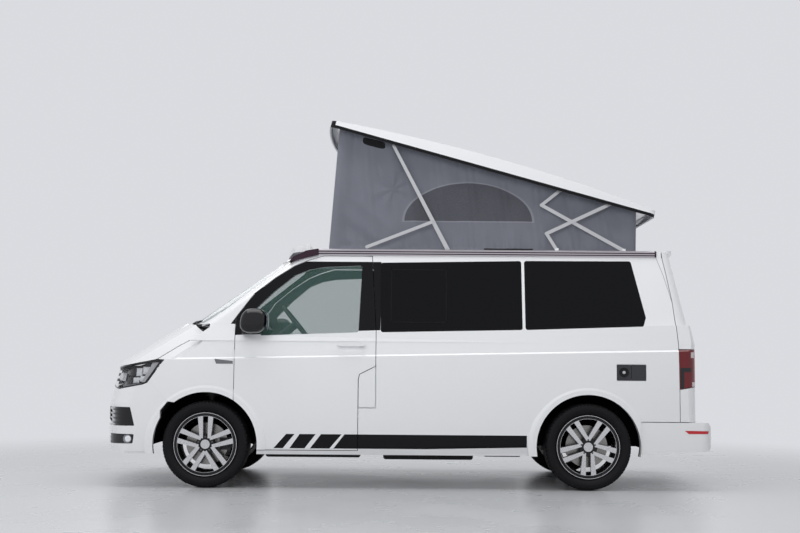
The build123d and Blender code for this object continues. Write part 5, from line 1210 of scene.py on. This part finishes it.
# %% [markdown]
# The studio is a plain pale floor under soft light. Near the van the floor is a slightly
# glossy grey, and further out it fades to the background's own colour, so no edge shows.

# %% Floor, world and lamps
BACKGROUND = (0.70, 0.71, 0.745, 1)
FADE = {"From Min": 3.2, "From Max": 7.5}
FLOOR_HALF = 40.0
SKY_LIGHT = 0.26


def floor_finish():
    """Grey floor near the middle, the background's colour further out."""
    material, shader, place = start_material("studio_floor", (0.52, 0.53, 0.55, 1), 0.28)
    tree = material.node_tree
    flat = add_node(tree, "ShaderNodeVectorMath", {0: place}, operation="LENGTH").outputs["Value"]
    fade = add_node(tree, "ShaderNodeMapRange", {"Value": flat, **FADE}, interpolation_type="SMOOTHSTEP")
    stains = noise(place, 0.9, 6.0)
    set_inputs(shader, {
        "Base Color": mix_colour(stains, (0.47, 0.48, 0.50, 1), (0.58, 0.59, 0.61, 1)),
        "Roughness": mix_value(stains, 0.20, 0.36),
    })
    glow = add_node(tree, "ShaderNodeEmission", {"Color": BACKGROUND, "Strength": 1.0})
    blend = add_node(tree, "ShaderNodeMixShader", {0: fade.outputs[0], 1: shader.outputs[0], 2: glow.outputs[0]})
    set_inputs(tree.nodes["Material Output"], {"Surface": blend.outputs[0]})
    return material


floor_points = FLOOR_HALF * np.array([(-1, -1, 0), (1, -1, 0), (1, 1, 0), (-1, 1, 0)])
floor = new_object("floor", floor_points, np.array([[0, 1, 2, 3]]), floor_finish(), smooth=False)

world = bpy.data.worlds.new("studio")
world.use_nodes = True
bpy.context.scene.world = world
sky = world.node_tree
sky.nodes.clear()
path = sky.nodes.new("ShaderNodeLightPath").outputs
seen = Signal(path["Is Camera Ray"]) | path["Is Glossy Ray"] | path["Is Transmission Ray"]
soft = add_node(sky, "ShaderNodeBackground", {"Color": (1, 1, 1, 1), "Strength": SKY_LIGHT})
wall = add_node(sky, "ShaderNodeBackground", {"Color": BACKGROUND, "Strength": 1.0})
either = add_node(sky, "ShaderNodeMixShader", {0: seen, 1: soft.outputs[0], 2: wall.outputs[0]})
add_node(sky, "ShaderNodeOutputWorld", {"Surface": either.outputs[0]})


def add_lamp(name, place, target, size, power, mirrored=True):
    """Large soft area lamp aimed at a point; one that is not mirrored leaves no glare on glass."""
    data = bpy.data.lights.new(name, "AREA")
    data.shape = "RECTANGLE"
    data.size, data.size_y = size
    data.energy = power
    lamp = bpy.data.objects.new(name, data)
    back = np.array(place, dtype=float) - np.array(target, dtype=float)
    back /= np.linalg.norm(back)
    side_axis = np.cross((0.0, 0.0, 1.0) if abs(back[2]) < 0.99 else (0.0, 1.0, 0.0), back)
    side_axis /= np.linalg.norm(side_axis)
    top_axis = np.cross(back, side_axis)
    rows = zip(side_axis, top_axis, back, place)
    lamp.matrix_world = Matrix([*rows, (0, 0, 0, 1)])
    bpy.context.scene.collection.objects.link(lamp)
    lamp.visible_glossy = mirrored


add_lamp("ceiling", (0.0, -1.0, 7.0), (0.0, 0.0, 0.0), (9.0, 6.0), 380.0)
add_lamp("side_wall", (-1.5, -9.0, 4.5), (0.0, 0.0, 1.2), (9.0, 3.5), 330.0, mirrored=False)
add_lamp("far_wall", (0.0, 8.0, 4.5), (0.0, 0.0, 1.0), (9.0, 3.0), 150.0)
add_lamp("front_wall", (-9.0, -2.0, 3.5), (-1.0, 0.0, 1.0), (5.0, 3.0), 70.0, mirrored=False)
bpy.context.scene.view_settings.view_transform = "Standard"
print("lamps: 4")
